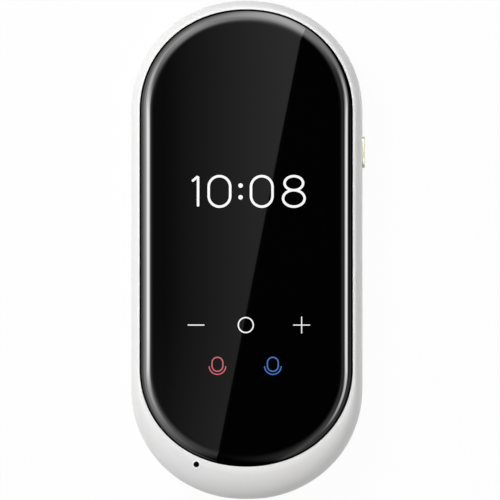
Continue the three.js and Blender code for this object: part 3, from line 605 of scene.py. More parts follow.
def lightAlloy():
    # anodised alloy: blasted grain, flow marks and paler rubbed edges
    look = alloyLook
    finish = Finish("lightAlloy")
    blasted = finish.noise(*look["blast"])
    rub = finish.patches(look["rub"], look["rubEdges"])
    share = finish.clipped(finish.noise(*look["flow"]) * look["flowShare"] + rub * look["rubShare"])
    colour = finish.mix(share, look["colour"], look["paler"])
    roughness = look["roughness"] + finish.swing(blasted, look["blastGloss"]) - rub * look["rubGloss"]
    return finish.surface(colour, roughness, look["metal"], finish.bump(blasted, look["blastDepth"]))


pouchLook = {
    "colour": rgb(0.55, 0.56, 0.58),
    "brighter": rgb(0.68, 0.68, 0.69),
    "wrinkle": (0.22, 4.0, 0.55),
    "wrinkleEdges": (0.4, 0.6),
    "wrinkleGloss": 0.2,
    "crease": 0.12,
    "creaseShare": 0.3,
    "depth": 0.12,
    "roughness": 0.34,
    "metal": 0.75,
}


def silverPouch():
    # foil pouch: soft wrinkles and dull press marks
    look = pouchLook
    finish = Finish("silverPouch")
    wrinkle = finish.noise(*look["wrinkle"])
    crease = finish.cells(look["crease"], "DISTANCE_TO_EDGE")
    colour = finish.mix(finish.within(wrinkle, *look["wrinkleEdges"]), look["colour"], look["brighter"])
    normal = finish.bump(wrinkle + crease * look["creaseShare"], look["depth"])
    roughness = look["roughness"] + finish.swing(wrinkle, look["wrinkleGloss"])
    return finish.surface(colour, roughness, look["metal"], normal)


wireLook = {
    "red": (rgb(0.5, 0.015, 0.012), rgb(0.62, 0.06, 0.04)),
    "black": (rgb(0.015, 0.015, 0.016), rgb(0.05, 0.05, 0.05)),
    "bands": (1.0, 2.0, 0.5),
    "bandPitch": (0.3, 2.5, 0.3),
    "bandShare": 0.5,
    "bandDepth": 0.01,
    "scuff": (1.6, 4.0, 0.6),
    "scuffEdges": (0.6, 0.72),
    "scuffShare": 0.4,
    "scuffGloss": 0.15,
    "roughness": 0.4,
}


def insulation(name, colours):
    # drawn insulation: slight bands along the wire and scuffs
    look = wireLook
    finish = Finish(name)
    bands = finish.noise(*look["bands"], where=finish.place(look["bandPitch"]))
    scuff = finish.patches(look["scuff"], look["scuffEdges"])
    colour = finish.mix(finish.clipped(bands * look["bandShare"] + scuff * look["scuffShare"]), *colours)
    roughness = look["roughness"] + scuff * look["scuffGloss"]
    return finish.surface(colour, roughness, normal=finish.bump(bands, look["bandDepth"]))


def redWire():
    return insulation("redWire", wireLook["red"])


def blackWire():
    return insulation("blackWire", wireLook["black"])


lensLook = {
    "red": (rgb(0.72, 0.1, 0.14), rgb(0.82, 0.2, 0.23)),
    "blue": (rgb(0.06, 0.19, 0.68), rgb(0.12, 0.28, 0.78)),
    "white": (rgb(0.84, 0.86, 0.86), rgb(0.9, 0.91, 0.9)),
    "cloud": (1.1, 4.0, 0.6),
    "frost": (7.0, 3.0),
    "frostGloss": 0.2,
    "frostDepth": 0.004,
    "roughness": 0.3,
    "bend": 1.49,
}


def lightLens(name, colours):
    # diffusing plastic: milky cloud and a soft frosted face
    look = lensLook
    finish = Finish(name)
    frost = finish.noise(*look["frost"])
    colour = finish.mix(finish.noise(*look["cloud"]), *colours)
    roughness = look["roughness"] + frost * look["frostGloss"]
    return finish.surface(colour, roughness, normal=finish.bump(frost, look["frostDepth"]), IOR=look["bend"])


def redLens():
    return lightLens("redLens", lensLook["red"])


def blueLens():
    return lightLens("blueLens", lensLook["blue"])


def whiteLens():
    return lightLens("whiteLens", lensLook["white"])


markLook = {
    "dark": rgb(0.004, 0.004, 0.004),
    "grain": (5.0, 3.0, 0.6),
    "dimmest": 0.9,
    "roughness": 0.02,
    "grainGloss": 0.01,
    "strength": 1.0,
}


def litSymbol(name, colour):
    # a lit mark behind glass: its light falls off a little in fine grain
    look = markLook
    finish = Finish(name)
    grain = finish.noise(*look["grain"])
    glow = finish.mix(grain, colour, rgb(*[channel * look["dimmest"] for channel in colour[:3]]))
    roughness = look["roughness"] + grain * look["grainGloss"]
    return finish.surface(look["dark"], roughness, Emission_Color=glow, Emission_Strength=look["strength"])


finishes = {
    "white_shell": whiteShell,
    "black_glass": blackGlass,
    "champagne_metal": champagneMetal,
    "black_plastic": blackPlastic,
    "black_rubber": blackRubber,
    "touch_film": touchFilm,
    "panel_glass": panelGlass,
    "white_plastic": whitePlastic,
    "amber_flex": amberFlex,
    "green_board": greenBoard,
    "plain_steel": plainSteel,
    "light_alloy": lightAlloy,
    "silver_pouch": silverPouch,
    "red_wire": redWire,
    "black_wire": blackWire,
    "red_lens": redLens,
    "blue_lens": blueLens,
    "white_lens": whiteLens,
}
made = {slot: build() for slot, build in finishes.items()}
slotOf = {part["node"]: part["material_slot"] for part in frame["record"]["subparts"]}
for name, thing in nodes.items():
    thing.data.materials.clear()
    thing.data.materials.append(made[slotOf[name]])
print("finishes made:", len(made))


# Surfaces: rows of closed rings, in millimetres, joined by four-sided faces

def gridPiece(name, grid, loop=False, capFirst=False, capLast=False, edge=None):
    # row i to row i + 1 and point j to point j + 1 make one face; loop joins the last row to the first,
    # and edge holds the wear of each row, which on the housing's rim also places the painted highlight
    rows, columns = grid.shape[:2]
    index = np.arange(rows * columns).reshape(rows, columns)
    ladder = np.vstack([index, index[:1]]) if loop else index
    beside = np.roll(ladder, -1, axis=1)
    corners = [ladder[:-1], beside[:-1], beside[1:], ladder[1:]]
    faces = np.stack(corners, axis=-1).reshape(-1, 4).tolist()
    if capFirst:
        faces.append(index[0][::-1].tolist())
    if capLast:
        faces.append(index[-1].tolist())
    mesh = bpy.data.meshes.new(name)
    mesh.from_pydata((grid.reshape(-1, 3) * mm).tolist(), [], faces)
    if edge is not None:
        wear = mesh.attributes.new("edge", "FLOAT", "POINT")
        wear.data.foreach_set("value", np.repeat(edge, columns).astype(np.float32))
    mesh.update()
    piece = bpy.data.objects.new(name, mesh)
    bpy.context.scene.collection.objects.link(piece)
    return piece


def solid(name, grid, edge=None):
    # rows of rings closed by a face at both ends
    return gridPiece(name, grid, capFirst=True, capLast=True, edge=edge)


def applied(piece):
    # bakes the modifiers of a piece into its mesh
    bpy.context.view_layer.update()
    shaped = piece.evaluated_get(bpy.context.evaluated_depsgraph_get())
    mesh = bpy.data.meshes.new_from_object(shaped)
    piece.modifiers.clear()
    piece.data = mesh
    return piece


def carve(piece, *tools, operation="DIFFERENCE"):
    # cuts each tool out of the piece, or adds it, and takes the tool away
    for tool in tools:
        change = piece.modifiers.new("carve", "BOOLEAN")
        change.operation = operation
        change.solver = "EXACT"
        change.object = tool
        applied(piece)
        bpy.data.objects.remove(tool)
    return piece


def joined(pieces):
    # one mesh out of several pieces, kept under the first one's name
    first = pieces[0]
    bpy.ops.object.select_all(action="DESELECT")
    for piece in pieces:
        piece.select_set(True)
    bpy.context.view_layer.objects.active = first
    bpy.ops.object.join()
    return first


# faces larger than this, in square millimetres, are shaded flat
wideFace = 18.0


def finished(piece, slot, body, replaced=(), sharp=32, material=None):
    # smooth shading but for wide flat faces, sharp edges past an angle, then finish, body and replaced nodes
    mesh = piece.data
    mesh.materials.clear()
    mesh.materials.append(material or made[slot])
    areas = np.empty(len(mesh.polygons), np.float32)
    mesh.polygons.foreach_get("area", areas)
    mesh.set_sharp_from_angle(angle=math.radians(sharp))
    mesh.polygons.foreach_set("use_smooth", areas < wideFace * mm * mm)
    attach(piece, body)
    if replaced:
        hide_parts(*replaced)
    return piece


ringShape = {"endPoints": 130, "sidePoints": 22, "squareness": 2.06}
# the least size of a loop in millimetres, so that its faces keep an area
thinnest = 0.001


def outlineOf(node, topRise, bottomRise, topInset=0.0):
    # half width and ends of a solid, and how far along each end is round
    low, high = boxOf(node)
    return {"half": high[0], "top": high[1] - topInset, "bottom": low[1],
            "topRise": topRise, "bottomRise": bottomRise}


def ring(outline, inset=0.0):
    # two superellipse ends joined by straight sides, every size less the inset: (points, 2)
    power = 2 / ringShape["squareness"]
    half, top, bottom = outline["half"] - inset, outline["top"] - inset, outline["bottom"] + inset
    topRise, bottomRise = outline["topRise"] - inset, outline["bottomRise"] - inset
    angle = np.linspace(0, math.pi, ringShape["endPoints"] + 1)
    across = half * np.sign(np.cos(angle)) * np.abs(np.cos(angle)) ** power
    reach = 1 - np.abs(np.sin(angle)) ** power
    side = np.linspace(0, 1, ringShape["sidePoints"] + 2)[1:-1]
    upper, lower = top - topRise, bottom + bottomRise
    x = np.concatenate([across, np.full(len(side), -half), -across, np.full(len(side), half)])
    y = np.concatenate([top - topRise * reach, upper + (lower - upper) * side,
                        bottom + bottomRise * reach, lower + (upper - lower) * side])
    return np.column_stack([x, y])


def stacked(rings):
    # (points, height) pairs to a grid
    return np.stack([np.column_stack([points, np.full(len(points), height)]) for points, height in rings])


def quarter(count):
    # cosine and sine pairs over a quarter turn
    angle = np.linspace(0, 1, count) * math.pi / 2
    return list(zip(np.cos(angle), np.sin(angle)))


def pill(length, height, margin=0.0, count=24):
    # a long round-ended loop with its margin taken off all round: (points, 2)
    radius = max(height / 2 - margin, thinnest)
    shift = (length - height) / 2
    angle = np.linspace(-math.pi / 2, math.pi / 2, count)
    first = np.column_stack([shift + radius * np.cos(angle), radius * np.sin(angle)])
    return np.vstack([first, -first])


def rounded(width, height, radius, count=6):
    # a rectangle with round corners: (points, 2)
    angle = np.linspace(0, math.pi / 2, count)
    loops = []
    for turn, (sideX, sideY) in enumerate([(1, 1), (-1, 1), (-1, -1), (1, -1)]):
        corner = angle + turn * math.pi / 2
        x = sideX * (width / 2 - radius) + radius * np.cos(corner)
        y = sideY * (height / 2 - radius) + radius * np.sin(corner)
        loops.append(np.column_stack([x, y]))
    return np.vstack(loops)


def alongX(rings, y, z):
    # rings drawn in (y, z) and placed at each x
    return np.stack([np.column_stack([np.full(len(p), x), y + p[:, 0], z + p[:, 1]]) for p, x in rings])


def alongY(rings, x, z):
    # rings drawn in (x, z) and placed at each y; reversed so that faces point outwards
    return np.stack([np.column_stack([x + p[::-1, 0], np.full(len(p), y), z + p[::-1, 1]]) for p, y in rings])


def circle(radius, count=32):
    # points at even steps round a circle: (points, 2)
    angle = np.linspace(0, 2 * math.pi, count, endpoint=False)
    return np.column_stack([radius * np.cos(angle), radius * np.sin(angle)])


def square(half):
    # the corners of a square about the origin
    return np.array([[-half, -half], [half, -half], [half, half], [-half, half]])


def rod(name, x, y, radius, low, high, count=40):
    # an upright cylinder between two heights
    loop = circle(radius, count) + (x, y)
    return solid(name, stacked([(loop, low), (loop, high)]))


def block(name, low, high):
    # a box from its lowest corner to its highest
    loop = np.array([[low[0], low[1]], [high[0], low[1]], [high[0], high[1]], [low[0], high[1]]])
    return solid(name, stacked([(loop, low[2]), (loop, high[2])]))


bodyOutline = outlineOf("housing_frame", topRise=25.6, bottomRise=25.7)
glassOutline = outlineOf("cover_glass", topRise=23.4, bottomRise=22.5, topInset=0.18)
housingLow, housingHigh = boxOf("housing_frame")
glassLow, glassHigh = boxOf("cover_glass")
keyLow, keyHigh = boxOf("power_key")
trayLow, trayHigh = boxOf("card_tray")
socketLow, socketHigh = boxOf("socket_shell")
coverHigh = boxOf("rear_cover")[1]
keyY = (keyLow[1] + keyHigh[1]) / 2
keyZ = (keyLow[2] + keyHigh[2]) / 2
trayY = (trayLow[1] + trayHigh[1]) / 2
socketZ = (socketLow[2] + socketHigh[2]) / 2


# Housing: band, rim and chin in one shell, with the slots of the key, the tray and the socket

housingShape = {
    "beltHeight": 2.6,
    "rearInset": 9.0,
    "glassGap": 0.03,
    "landWidth": 0.12,
    "landRound": 0.04,
    "seamRound": 0.14,
    "wall": 1.5,
    "ledgeWidth": 2.36,
    "rollRows": 36,
    "lowerRows": 10,
    "keyLength": 7.2,
    "keyHeight": 2.4,
    "trayLength": 12.6,
    "trayHeight": 2.2,
    "slotGap": 0.12,
    "slotRound": 0.12,
    "slotRows": 7,
    "slotDepth": 3.0,
    "slotFlare": 1.0,
    "socketMargin": 0.2,
    "socketRound": 0.3,
    "mouthRows": 8,
    "micRadius": 0.67,
    "micDepth": 1.0,
    "rimWidth": 0.45,
    "seamRows": 5,
    "landRows": 5,
    "ledgeDrop": 0.3,
    "topMicX": 11.5,
    "topMicRadius": 0.5,
    "topMicRound": 0.12,
}
beltTop = keyZ + housingShape["beltHeight"] / 2
beltBottom = keyZ - housingShape["beltHeight"] / 2


def rearInsetAt(z):
    # how far the rounded back has drawn in at a height below the belt: an ellipse
    sine = 1 - z / beltBottom
    return housingShape["rearInset"] * (1 - math.sqrt(max(1 - sine * sine, 0.0)))


def openingRows(radius, count):
    # margin and depth of each ring of an opening: straight, then a quarter round out to the wall
    rows = [(0.0, -housingShape["slotDepth"]), (0.0, -radius)]
    rows += [(radius * (1 - c), radius * (s - 1)) for c, s in quarter(count)[1:]]
    return rows + [(radius, housingShape["slotFlare"])]


def slotCutter(name, length, height, y, side):
    # a pill along X, a gap wider than what it holds, whose mouth opens by a quarter round at the wall
    shape = housingShape
    length, height = length + 2 * shape["slotGap"], height + 2 * shape["slotGap"]
    rings = []
    for margin, depth in openingRows(shape["slotRound"], shape["slotRows"]):
        rings.append((pill(length + 2 * margin, height + 2 * margin), side * (bodyOutline["half"] + depth)))
    return solid(name, alongX(rings[::side], y, keyZ))


def bodyEndY(x, end):
    # where the body ends along its length, at a place across it
    shape = bodyOutline
    share = (1 - np.abs(x / shape["half"]) ** ringShape["squareness"]) ** (1 / ringShape["squareness"])
    if end == "top":
        return shape["top"] - shape["topRise"] * (1 - share)
    return shape["bottom"] + shape["bottomRise"] * (1 - share)


def mouthCutter(name, ringAt, radius, x, z, end):
    # a hole through an end, opened by a quarter round that follows the curved wall
    out = 1 if end == "top" else -1
    layers = []
    for margin, depth in openingRows(radius, housingShape["mouthRows"]):
        loop = ringAt(margin)[::-1]
        y = bodyEndY(x + loop[:, 0], end) + out * depth
        layers.append(np.column_stack([x + loop[:, 0], y, z + loop[:, 1]]))
    return solid(name, np.stack(layers[::out]))


def socketRing(flare):
    # the socket's outline, wider all round by its margin and a flare
    margin = housingShape["socketMargin"] + flare
    width, height = socketHigh[0] - socketLow[0], socketHigh[2] - socketLow[2]
    return pill(width + 2 * margin, height + 2 * margin)


def topMicRing(flare):
    # the circle of the top microphone's hole, wider by a flare
    return circle(housingShape["topMicRadius"] + flare)


def housingFrame():
    # profile round the outline: seam, rounded back, belt, quarter ellipse to the land, recess, ledge
    # and inner wall
    shape = housingShape
    body = ring(bodyOutline)
    recess = ring(glassOutline, -shape["glassGap"])
    land = ring(glassOutline, -shape["glassGap"] - shape["landWidth"])
    seamZ, topZ = housingLow[2], housingHigh[2]
    seamRound, landRound = shape["seamRound"], shape["landRound"]
    rings, wear = [], []
    for c, s in quarter(shape["seamRows"])[::-1]:
        inset = rearInsetAt(seamZ + seamRound) + seamRound * (1 - c)
        rings.append((ring(bodyOutline, inset), seamZ + seamRound * (1 - s)))
        wear.append(1.0)
    for z in np.linspace(seamZ + seamRound, beltBottom, shape["lowerRows"] + 1)[1:]:
        rings.append((ring(bodyOutline, rearInsetAt(z)), z))
        wear.append(0.0)
    rollWidth = body[:, 0].max() - land[:, 0].max()
    # the edge value fades in over rimWidth towards the land and is full on the land: wear there, and on the
    # white shell the painted highlight
    for c, s in quarter(shape["rollRows"]):
        rings.append((body + (land - body) * (1 - c), beltTop + (topZ - beltTop) * s))
        wear.append(float(np.clip(1 - c * rollWidth / shape["rimWidth"], 0, 1)))
    for c, s in quarter(shape["landRows"]):
        inset = -shape["glassGap"] - landRound * (1 - s)
        rings.append((ring(glassOutline, inset), topZ - landRound * (1 - c)))
        wear.append(1.0)
    ledgeTop = glassLow[2] - shape["ledgeDrop"]
    ledgeBottom = boxOf("key_light_board")[0][2]
    ledge = ring(glassOutline, shape["ledgeWidth"])
    cavity = ring(bodyOutline, shape["wall"])
    inner = [(recess, ledgeTop), (ledge, ledgeTop), (ledge, ledgeBottom)]
    inner += [(cavity, ledgeBottom), (cavity, seamZ)]
    wear += [0.0] * len(inner)
    piece = gridPiece("housingShell", stacked(rings + inner), loop=True, edge=np.array(wear))
    tools = [
        slotCutter("keySlot", shape["keyLength"], shape["keyHeight"], keyY, 1),
        slotCutter("traySlot", shape["trayLength"], shape["trayHeight"], trayY, -1),
        mouthCutter("socketMouth", socketRing, shape["socketRound"], 0.0, socketZ, "bottom"),
        mouthCutter("topMicMouth", topMicRing, shape["topMicRound"], shape["topMicX"], keyZ, "top"),
        rod("chinHole", *portCentre(), shape["micRadius"], ledgeBottom - shape["micDepth"], glassHigh[2]),
    ]
    carve(piece, joined(tools))
    return finished(piece, "white_shell", "device", ["housing_frame"])


housing = housingFrame()
print("housing made:", len(housing.data.polygons), "faces")


# Rear cover: a shallow tray with rounded sides, locating lip, snap hooks and speaker grille

# a row of grilleMouth is how much wider a hole is than its radius, and the height
coverShape = {
    "wall": 1.4,
    "backInset": 1.0,
    "seamGap": 0.12,
    "seamRows": 5,
    "lipOuter": 1.6,
    "lipThickness": 0.9,
    "floorInset": 9.4,
    "floorRise": 1.6,
    "seamRound": 0.14,
    "rollRows": 30,
    "innerRows": 10,
    "grilleRows": 3,
    "grilleColumns": 9,
    "grillePitch": 1.7,
    "grilleRadius": 0.42,
    "grillePoints": 20,
    "grilleMouth": ((0.1, -1.0), (0.1, 0.0), (0.03, 0.03), (0.0, 0.1), (0.0, 2.0)),
    "hookPitch": 24.0,
    "hookLength": 4.0,
    "hookProud": 0.35,
    "hookRise": 0.42,
    "hookHeight": 0.5,
    "roomMargin": 0.2,
    "roomEnd": -60.0,
    "roomRise": 0.05,
    "roomAbove": 1.0,
}


def grilleCutter():
    # rods on a square grid, each opened a little at the back face
    shape = coverShape
    low, high = boxOf("speaker_mesh")
    rods = []
    for row in range(shape["grilleRows"]):
        for column in range(shape["grilleColumns"]):
            x = (column - (shape["grilleColumns"] - 1) / 2) * shape["grillePitch"]
            y = (low[1] + high[1]) / 2 + (row - (shape["grilleRows"] - 1) / 2) * shape["grillePitch"]
            loops = []
            for wider, z in shape["grilleMouth"]:
                loops.append((circle(shape["grilleRadius"] + wider, shape["grillePoints"]) + (x, y), z))
            rods.append(solid("grilleRod", stacked(loops)))
    return joined(rods)


def rearCover():
    # profile from the flat back out and up to the seam, over the lip and down to the floor inside
    shape = coverShape
    seamZ, lipZ, radius = housingLow[2] - shape["seamGap"], coverHigh[2], shape["seamRound"]
    rings = [(ring(bodyOutline, housingShape["rearInset"] + shape["backInset"]), 0.0)]
    top = 1 - (seamZ - radius) / beltBottom
    for angle in np.linspace(math.pi / 2, math.asin(top), shape["rollRows"]):
        z = beltBottom * (1 - math.sin(angle))
        rings.append((ring(bodyOutline, rearInsetAt(z)), z))
    seamStart = len(rings)
    for c, s in quarter(shape["seamRows"])[1:]:
        inset = rearInsetAt(seamZ - radius) + radius * (1 - c)
        rings.append((ring(bodyOutline, inset), seamZ - radius * (1 - s)))
    seamEnd = len(rings)
    inner = shape["lipOuter"] + shape["lipThickness"]
    for inset, z in [(shape["lipOuter"], seamZ), (shape["lipOuter"], lipZ), (inner, lipZ)]:
        rings.append((ring(bodyOutline, inset), z))
    for c, s in quarter(shape["innerRows"]):
        inset = inner + (shape["floorInset"] - inner) * (1 - c)
        rings.append((ring(bodyOutline, inset), shape["wall"] + shape["floorRise"] * (1 - s)))
    wear = np.zeros(len(rings))
    wear[seamStart:seamEnd] = 1.0
    piece = solid("rearShell", stacked(rings), edge=wear)
    hooks = []
    for y in (-shape["hookPitch"], 0.0, shape["hookPitch"]):
        for side in (-1, 1):
            reach = sorted(side * (bodyOutline["half"] - shape["lipOuter"] + step)
                           for step in (-shape["lipThickness"] / 2, shape["hookProud"]))
            low = (reach[0], y - shape["hookLength"] / 2, seamZ + shape["hookRise"])
            high = (reach[1], y + shape["hookLength"] / 2, seamZ + shape["hookRise"] + shape["hookHeight"])
            hooks.append(block("hook", low, high))
    low = (socketLow[0] - shape["roomMargin"], shape["roomEnd"], seamZ + shape["roomRise"])
    high = (socketHigh[0] + shape["roomMargin"], socketHigh[1], lipZ + shape["roomAbove"])
    room = block("socketRoom", low, high)
    carve(piece, joined(hooks), operation="UNION")
    carve(piece, joined([room, grilleCutter()]))
    return finished(piece, "white_shell", "device", ["rear_cover"])


cover = rearCover()
print("rear cover made:", len(cover.data.polygons), "faces")


# Cover glass with rolled edges

glassShape = {
    "rollWidth": 3.3,
    "rollDrop": 1.15,
    "chamfer": 0.15,
    "rollRows": 44,
    "flatStep": 0.15,
    "sink": 0.012,
    "groundWidth": 0.37,
    "groundFade": 0.05,
}


def coverGlass():
    # flat underside, small chamfer, upright edge, then a quarter ellipse in to the flat face; its outer
    # border is ground
    shape = glassShape
    topZ = glassHigh[2] - shape["sink"]
    edgeZ = topZ - shape["rollDrop"]
    rings = [(shape["chamfer"], glassLow[2]), (0.0, glassLow[2] + shape["chamfer"])]
    for c, s in quarter(shape["rollRows"]):
        rings.append((shape["rollWidth"] * (1 - c), edgeZ + shape["rollDrop"] * s))
    rings.append((shape["rollWidth"] + shape["flatStep"], topZ))
    outer = shape["groundWidth"] + shape["groundFade"]
    ground = [(outer - inset) / shape["groundFade"] for inset, z in rings]
    grid = stacked([(ring(glassOutline, inset), z) for inset, z in rings])
    piece = solid("coverGlass", grid, edge=np.clip(ground, 0, 1))
    return finished(piece, "black_glass", "device", ["cover_glass"])


coverGlass()
print("cover glass made")


# Power key: a pill that stands a little proud of the wall, with a rounded, slightly hollow face

# the nub has as many points as the pills that follow it
keyShape = {
    "length": 7.2,
    "height": 2.4,
    "round": 0.2,
    "roundRows": 12,
    "hollow": 0.05,
    "hollowRows": 8,
    "lip": 0.7,
    "flangeRise": 0.2,
    "flangeGap": 0.05,
    "flangeThickness": 0.5,
    "nub": 0.55,
    "nubPoints": 48,
}


def powerKey():
    # nub, flange and shaft along X, then a quarter round and a shallow hollow to the middle line
    shape = keyShape
    length, height, radius = shape["length"], shape["height"], shape["round"]
    face, flangeOuter = keyHigh[0], bodyOutline["half"] - housingShape["wall"] - shape["flangeGap"]
    flangeInner = flangeOuter - shape["flangeThickness"]
    nub = np.roll(circle(shape["nub"], shape["nubPoints"]), shape["nubPoints"] // 4, axis=0)
    flange = pill(length + 2 * shape["lip"], height + 2 * shape["flangeRise"])
    rings = [(nub, keyLow[0]), (nub, flangeInner), (flange, flangeInner), (flange, flangeOuter)]
    rings += [(pill(length, height), flangeOuter), (pill(length, height), face - radius)]
    for c, s in quarter(shape["roundRows"])[1:]:
        rings.append((pill(length, height, radius * (1 - c)), face - radius * (1 - s)))
    span = height / 2 - radius - 2 * thinnest
    for share in np.linspace(0, 1, shape["hollowRows"])[1:]:
        hollow = shape["hollow"] * math.sin(share * math.pi / 2) ** 2
        rings.append((pill(length, height, radius + span * share), face - hollow))
    piece = solid("powerKey", alongX(rings, keyY, keyZ))
    return finished(piece, "champagne_metal", "key", ["power_key"])


powerKey()
print("power key made")


# Card tray: pill face with a pin hole, and a blade with a stepped pocket for the card

# a row of pinMouth is how much wider the pin hole is than its radius, and the depth; windowHeights are
# from the blade's upper face
trayShape = {
    "faceThickness": 1.3,
    "faceRound": 0.15,
    "faceRows": 7,
    "length": 12.6,
    "height": 2.2,
    "bladeWidth": 10.8,
    "bladeThickness": 1.0,
    "bladeRound": 0.2,
    "bladeOverlap": 0.3,
    "bladeTaper": 0.2,
    "bladeTip": (0.97, 0.8),
    "cardLength": 12.4,
    "cardWidth": 8.9,
    "cardDepth": 0.7,
    "cardLedge": 0.6,
    "cardMargin": 1.3,
    "pocketRound": 0.6,
    "pocketAbove": 1.0,
    "windowRound": 0.5,
    "windowHeights": (-2.0, -0.5),
    "pinRadius": 0.45,
    "pinShift": 4.7,
    "pinMouth": ((0.1, -1.0), (0.1, 0.0), (0.0, 0.1)),
    "pinFloor": 0.05,
    "pinPoints": 28,
}


def cardTray():
    # face along X with its outer edge rounded; the blade is a rounded rectangle along X
    shape = trayShape
    outer, radius = trayLow[0], shape["faceRound"]
    inner = outer + shape["faceThickness"]
    rings = []
    for c, s in quarter(shape["faceRows"])[::-1]:
        rings.append((pill(shape["length"], shape["height"], radius * (1 - c)), outer + radius * (1 - s)))
    rings.append((pill(shape["length"], shape["height"]), inner))
    face = solid("cardTray", alongX(rings, trayY, keyZ))
    loop = rounded(shape["bladeWidth"], shape["bladeThickness"], shape["bladeRound"])
    rings = [(loop, inner - shape["bladeOverlap"]), (loop, trayHigh[0] - shape["bladeTaper"])]
    rings.append((loop * shape["bladeTip"], trayHigh[0]))
    carve(face, solid("trayBlade", alongX(rings, trayY, keyZ)), operation="UNION")
    end = trayHigh[0] - shape["cardMargin"]
    start = end - shape["cardLength"]
    top = keyZ + shape["bladeThickness"] / 2
    centre = np.array([(start + end) / 2, trayY])
    loop = rounded(shape["cardLength"], shape["cardWidth"], shape["pocketRound"]) + centre
    pocket = solid("pocket", stacked([(loop, top - shape["cardDepth"]), (loop, top + shape["pocketAbove"])]))
    ledge = 2 * shape["cardLedge"]
    loop = rounded(shape["cardLength"] - ledge, shape["cardWidth"] - ledge, shape["windowRound"]) + centre
    window = solid("window", stacked([(loop, top + height) for height in shape["windowHeights"]]))
    rings = []
    for wider, depth in (*shape["pinMouth"], (0.0, shape["faceThickness"] - shape["pinFloor"])):
        rings.append((circle(shape["pinRadius"] + wider, shape["pinPoints"]), outer + depth))
    pin = solid("pinHole", alongX(rings, trayY + shape["pinShift"], keyZ))
    carve(face, pocket, window, pin)
    return finished(face, "light_alloy", "tray", ["card_tray"], sharp=40)


cardTray()
print("card tray made")


# Charging socket: a drawn steel shell, its tongue and the contacts on it

socketShape = {
    "wall": 0.3,
    "lipRows": 7,
    "tongueRound": 0.15,
    "tongueRows": 5,
    "tongueCorner": 0.1,
    "contacts": 12,
    "contactPitch": 0.5,
    "contactWidth": 0.26,
    "contactRise": 0.02,
    "contactEnds": (0.5, 0.6),
}


def socketShell():
    # a cup along Y: closed back, inner wall, rounded lip, outer wall, closed back
    shape = socketShape
    width, height = socketHigh[0] - socketLow[0], socketHigh[2] - socketLow[2]
    wall, mouth, back = shape["wall"], socketLow[1], socketHigh[1]
    rings = [(pill(width, height, wall), back - wall), (pill(width, height, wall), mouth + wall / 2)]
    for angle in np.linspace(0, math.pi, shape["lipRows"])[1:-1]:
        margin = wall / 2 * (1 + math.cos(angle))
        rings.append((pill(width, height, margin), mouth + wall / 2 * (1 - math.sin(angle))))
    rings += [(pill(width, height), mouth + wall / 2), (pill(width, height), back)]
    piece = solid("socketShell", alongY(rings, 0.0, socketZ))
    return finished(piece, "plain_steel", "device", ["socket_shell"])


def socketTongue():
    # a flat bar along Y with a rounded tip, and rows of contacts above and below
    shape = socketShape
    low, high = boxOf("socket_tongue")
    width, height = high[0] - low[0], high[2] - low[2]
    radius, corner = shape["tongueRound"], shape["tongueCorner"]
    rings = []
    for c, s in quarter(shape["tongueRows"])[::-1]:
        less = 2 * radius * (1 - c)
        rings.append((rounded(width - less, height - less, corner), low[1] + radius * (1 - s)))
    rings.append((rounded(width, height, corner), high[1]))
    piece = solid("socketTongue", alongY(rings, 0.0, socketZ))
    finished(piece, "black_plastic", "device", ["socket_tongue"])
    half, rise = shape["contactWidth"] / 2, shape["contactRise"]
    start, end = low[1] + shape["contactEnds"][0], high[1] - shape["contactEnds"][1]
    pads = []
    for row in (-1, 1):
        z = socketZ + row * height / 2
        for i in range(shape["contacts"]):
            x = (i - (shape["contacts"] - 1) / 2) * shape["contactPitch"]
            pads.append(block("contact", (x - half, start, z - rise), (x + half, end, z + rise)))
    contacts = finished(joined(pads), "champagne_metal", "device")
    contacts.name = "socketContacts"
    return contacts


socketShell()
socketTongue()
print("socket made")


# Lit symbols and a plain clock readout, as thin strokes on the glass: sunk is how far their undersides
# lie in the glass, and layer how far the top of each further stroke of a symbol lies below the first

symbolLook = {
    "white": rgb(0.91, 0.91, 0.91),
    "bright": rgb(1, 1, 1),
    "red": rgb(0.56, 0.085, 0.115),
    "blue": rgb(0.07, 0.18, 0.54),
    "shift": (-0.16, 0.05),
    "minusLength": 3.9,
    "minusStroke": 0.27,
    "ringWidth": 3.72,
    "ringStroke": 0.29,
    "ringPoints": 96,
    "plusLength": 3.9,
    "plusStroke": 0.24,
    "micWidth": 2.78,
    "micHeight": 3.5,
    "micStroke": 0.29,
    "micShift": 0.4,
    "cradleWidth": 4.1,
    "cradleStroke": 0.9,
    "sunk": 0.02,
    "layer": 0.001,
}


def arc(radiusX, radiusY, first, last, centre, count=64):
    # points along an ellipse, from one angle to another in degrees
    angle = np.radians(np.linspace(first, last, count))
    return np.column_stack([centre[0] + radiusX * np.cos(angle), centre[1] + radiusY * np.sin(angle)])


def oval(radiusX, radiusY, centre, points):
    # a whole ellipse, without the last point that would double the first
    return arc(radiusX, radiusY, 0, 360, centre, points + 1)[:-1]


def straight(first, last, count=40):
    # points closer together at both ends, where the round ends are
    share = (1 - np.cos(np.linspace(0, math.pi, count))) / 2
    return np.array(first) + np.outer(share, np.array(last) - np.array(first))


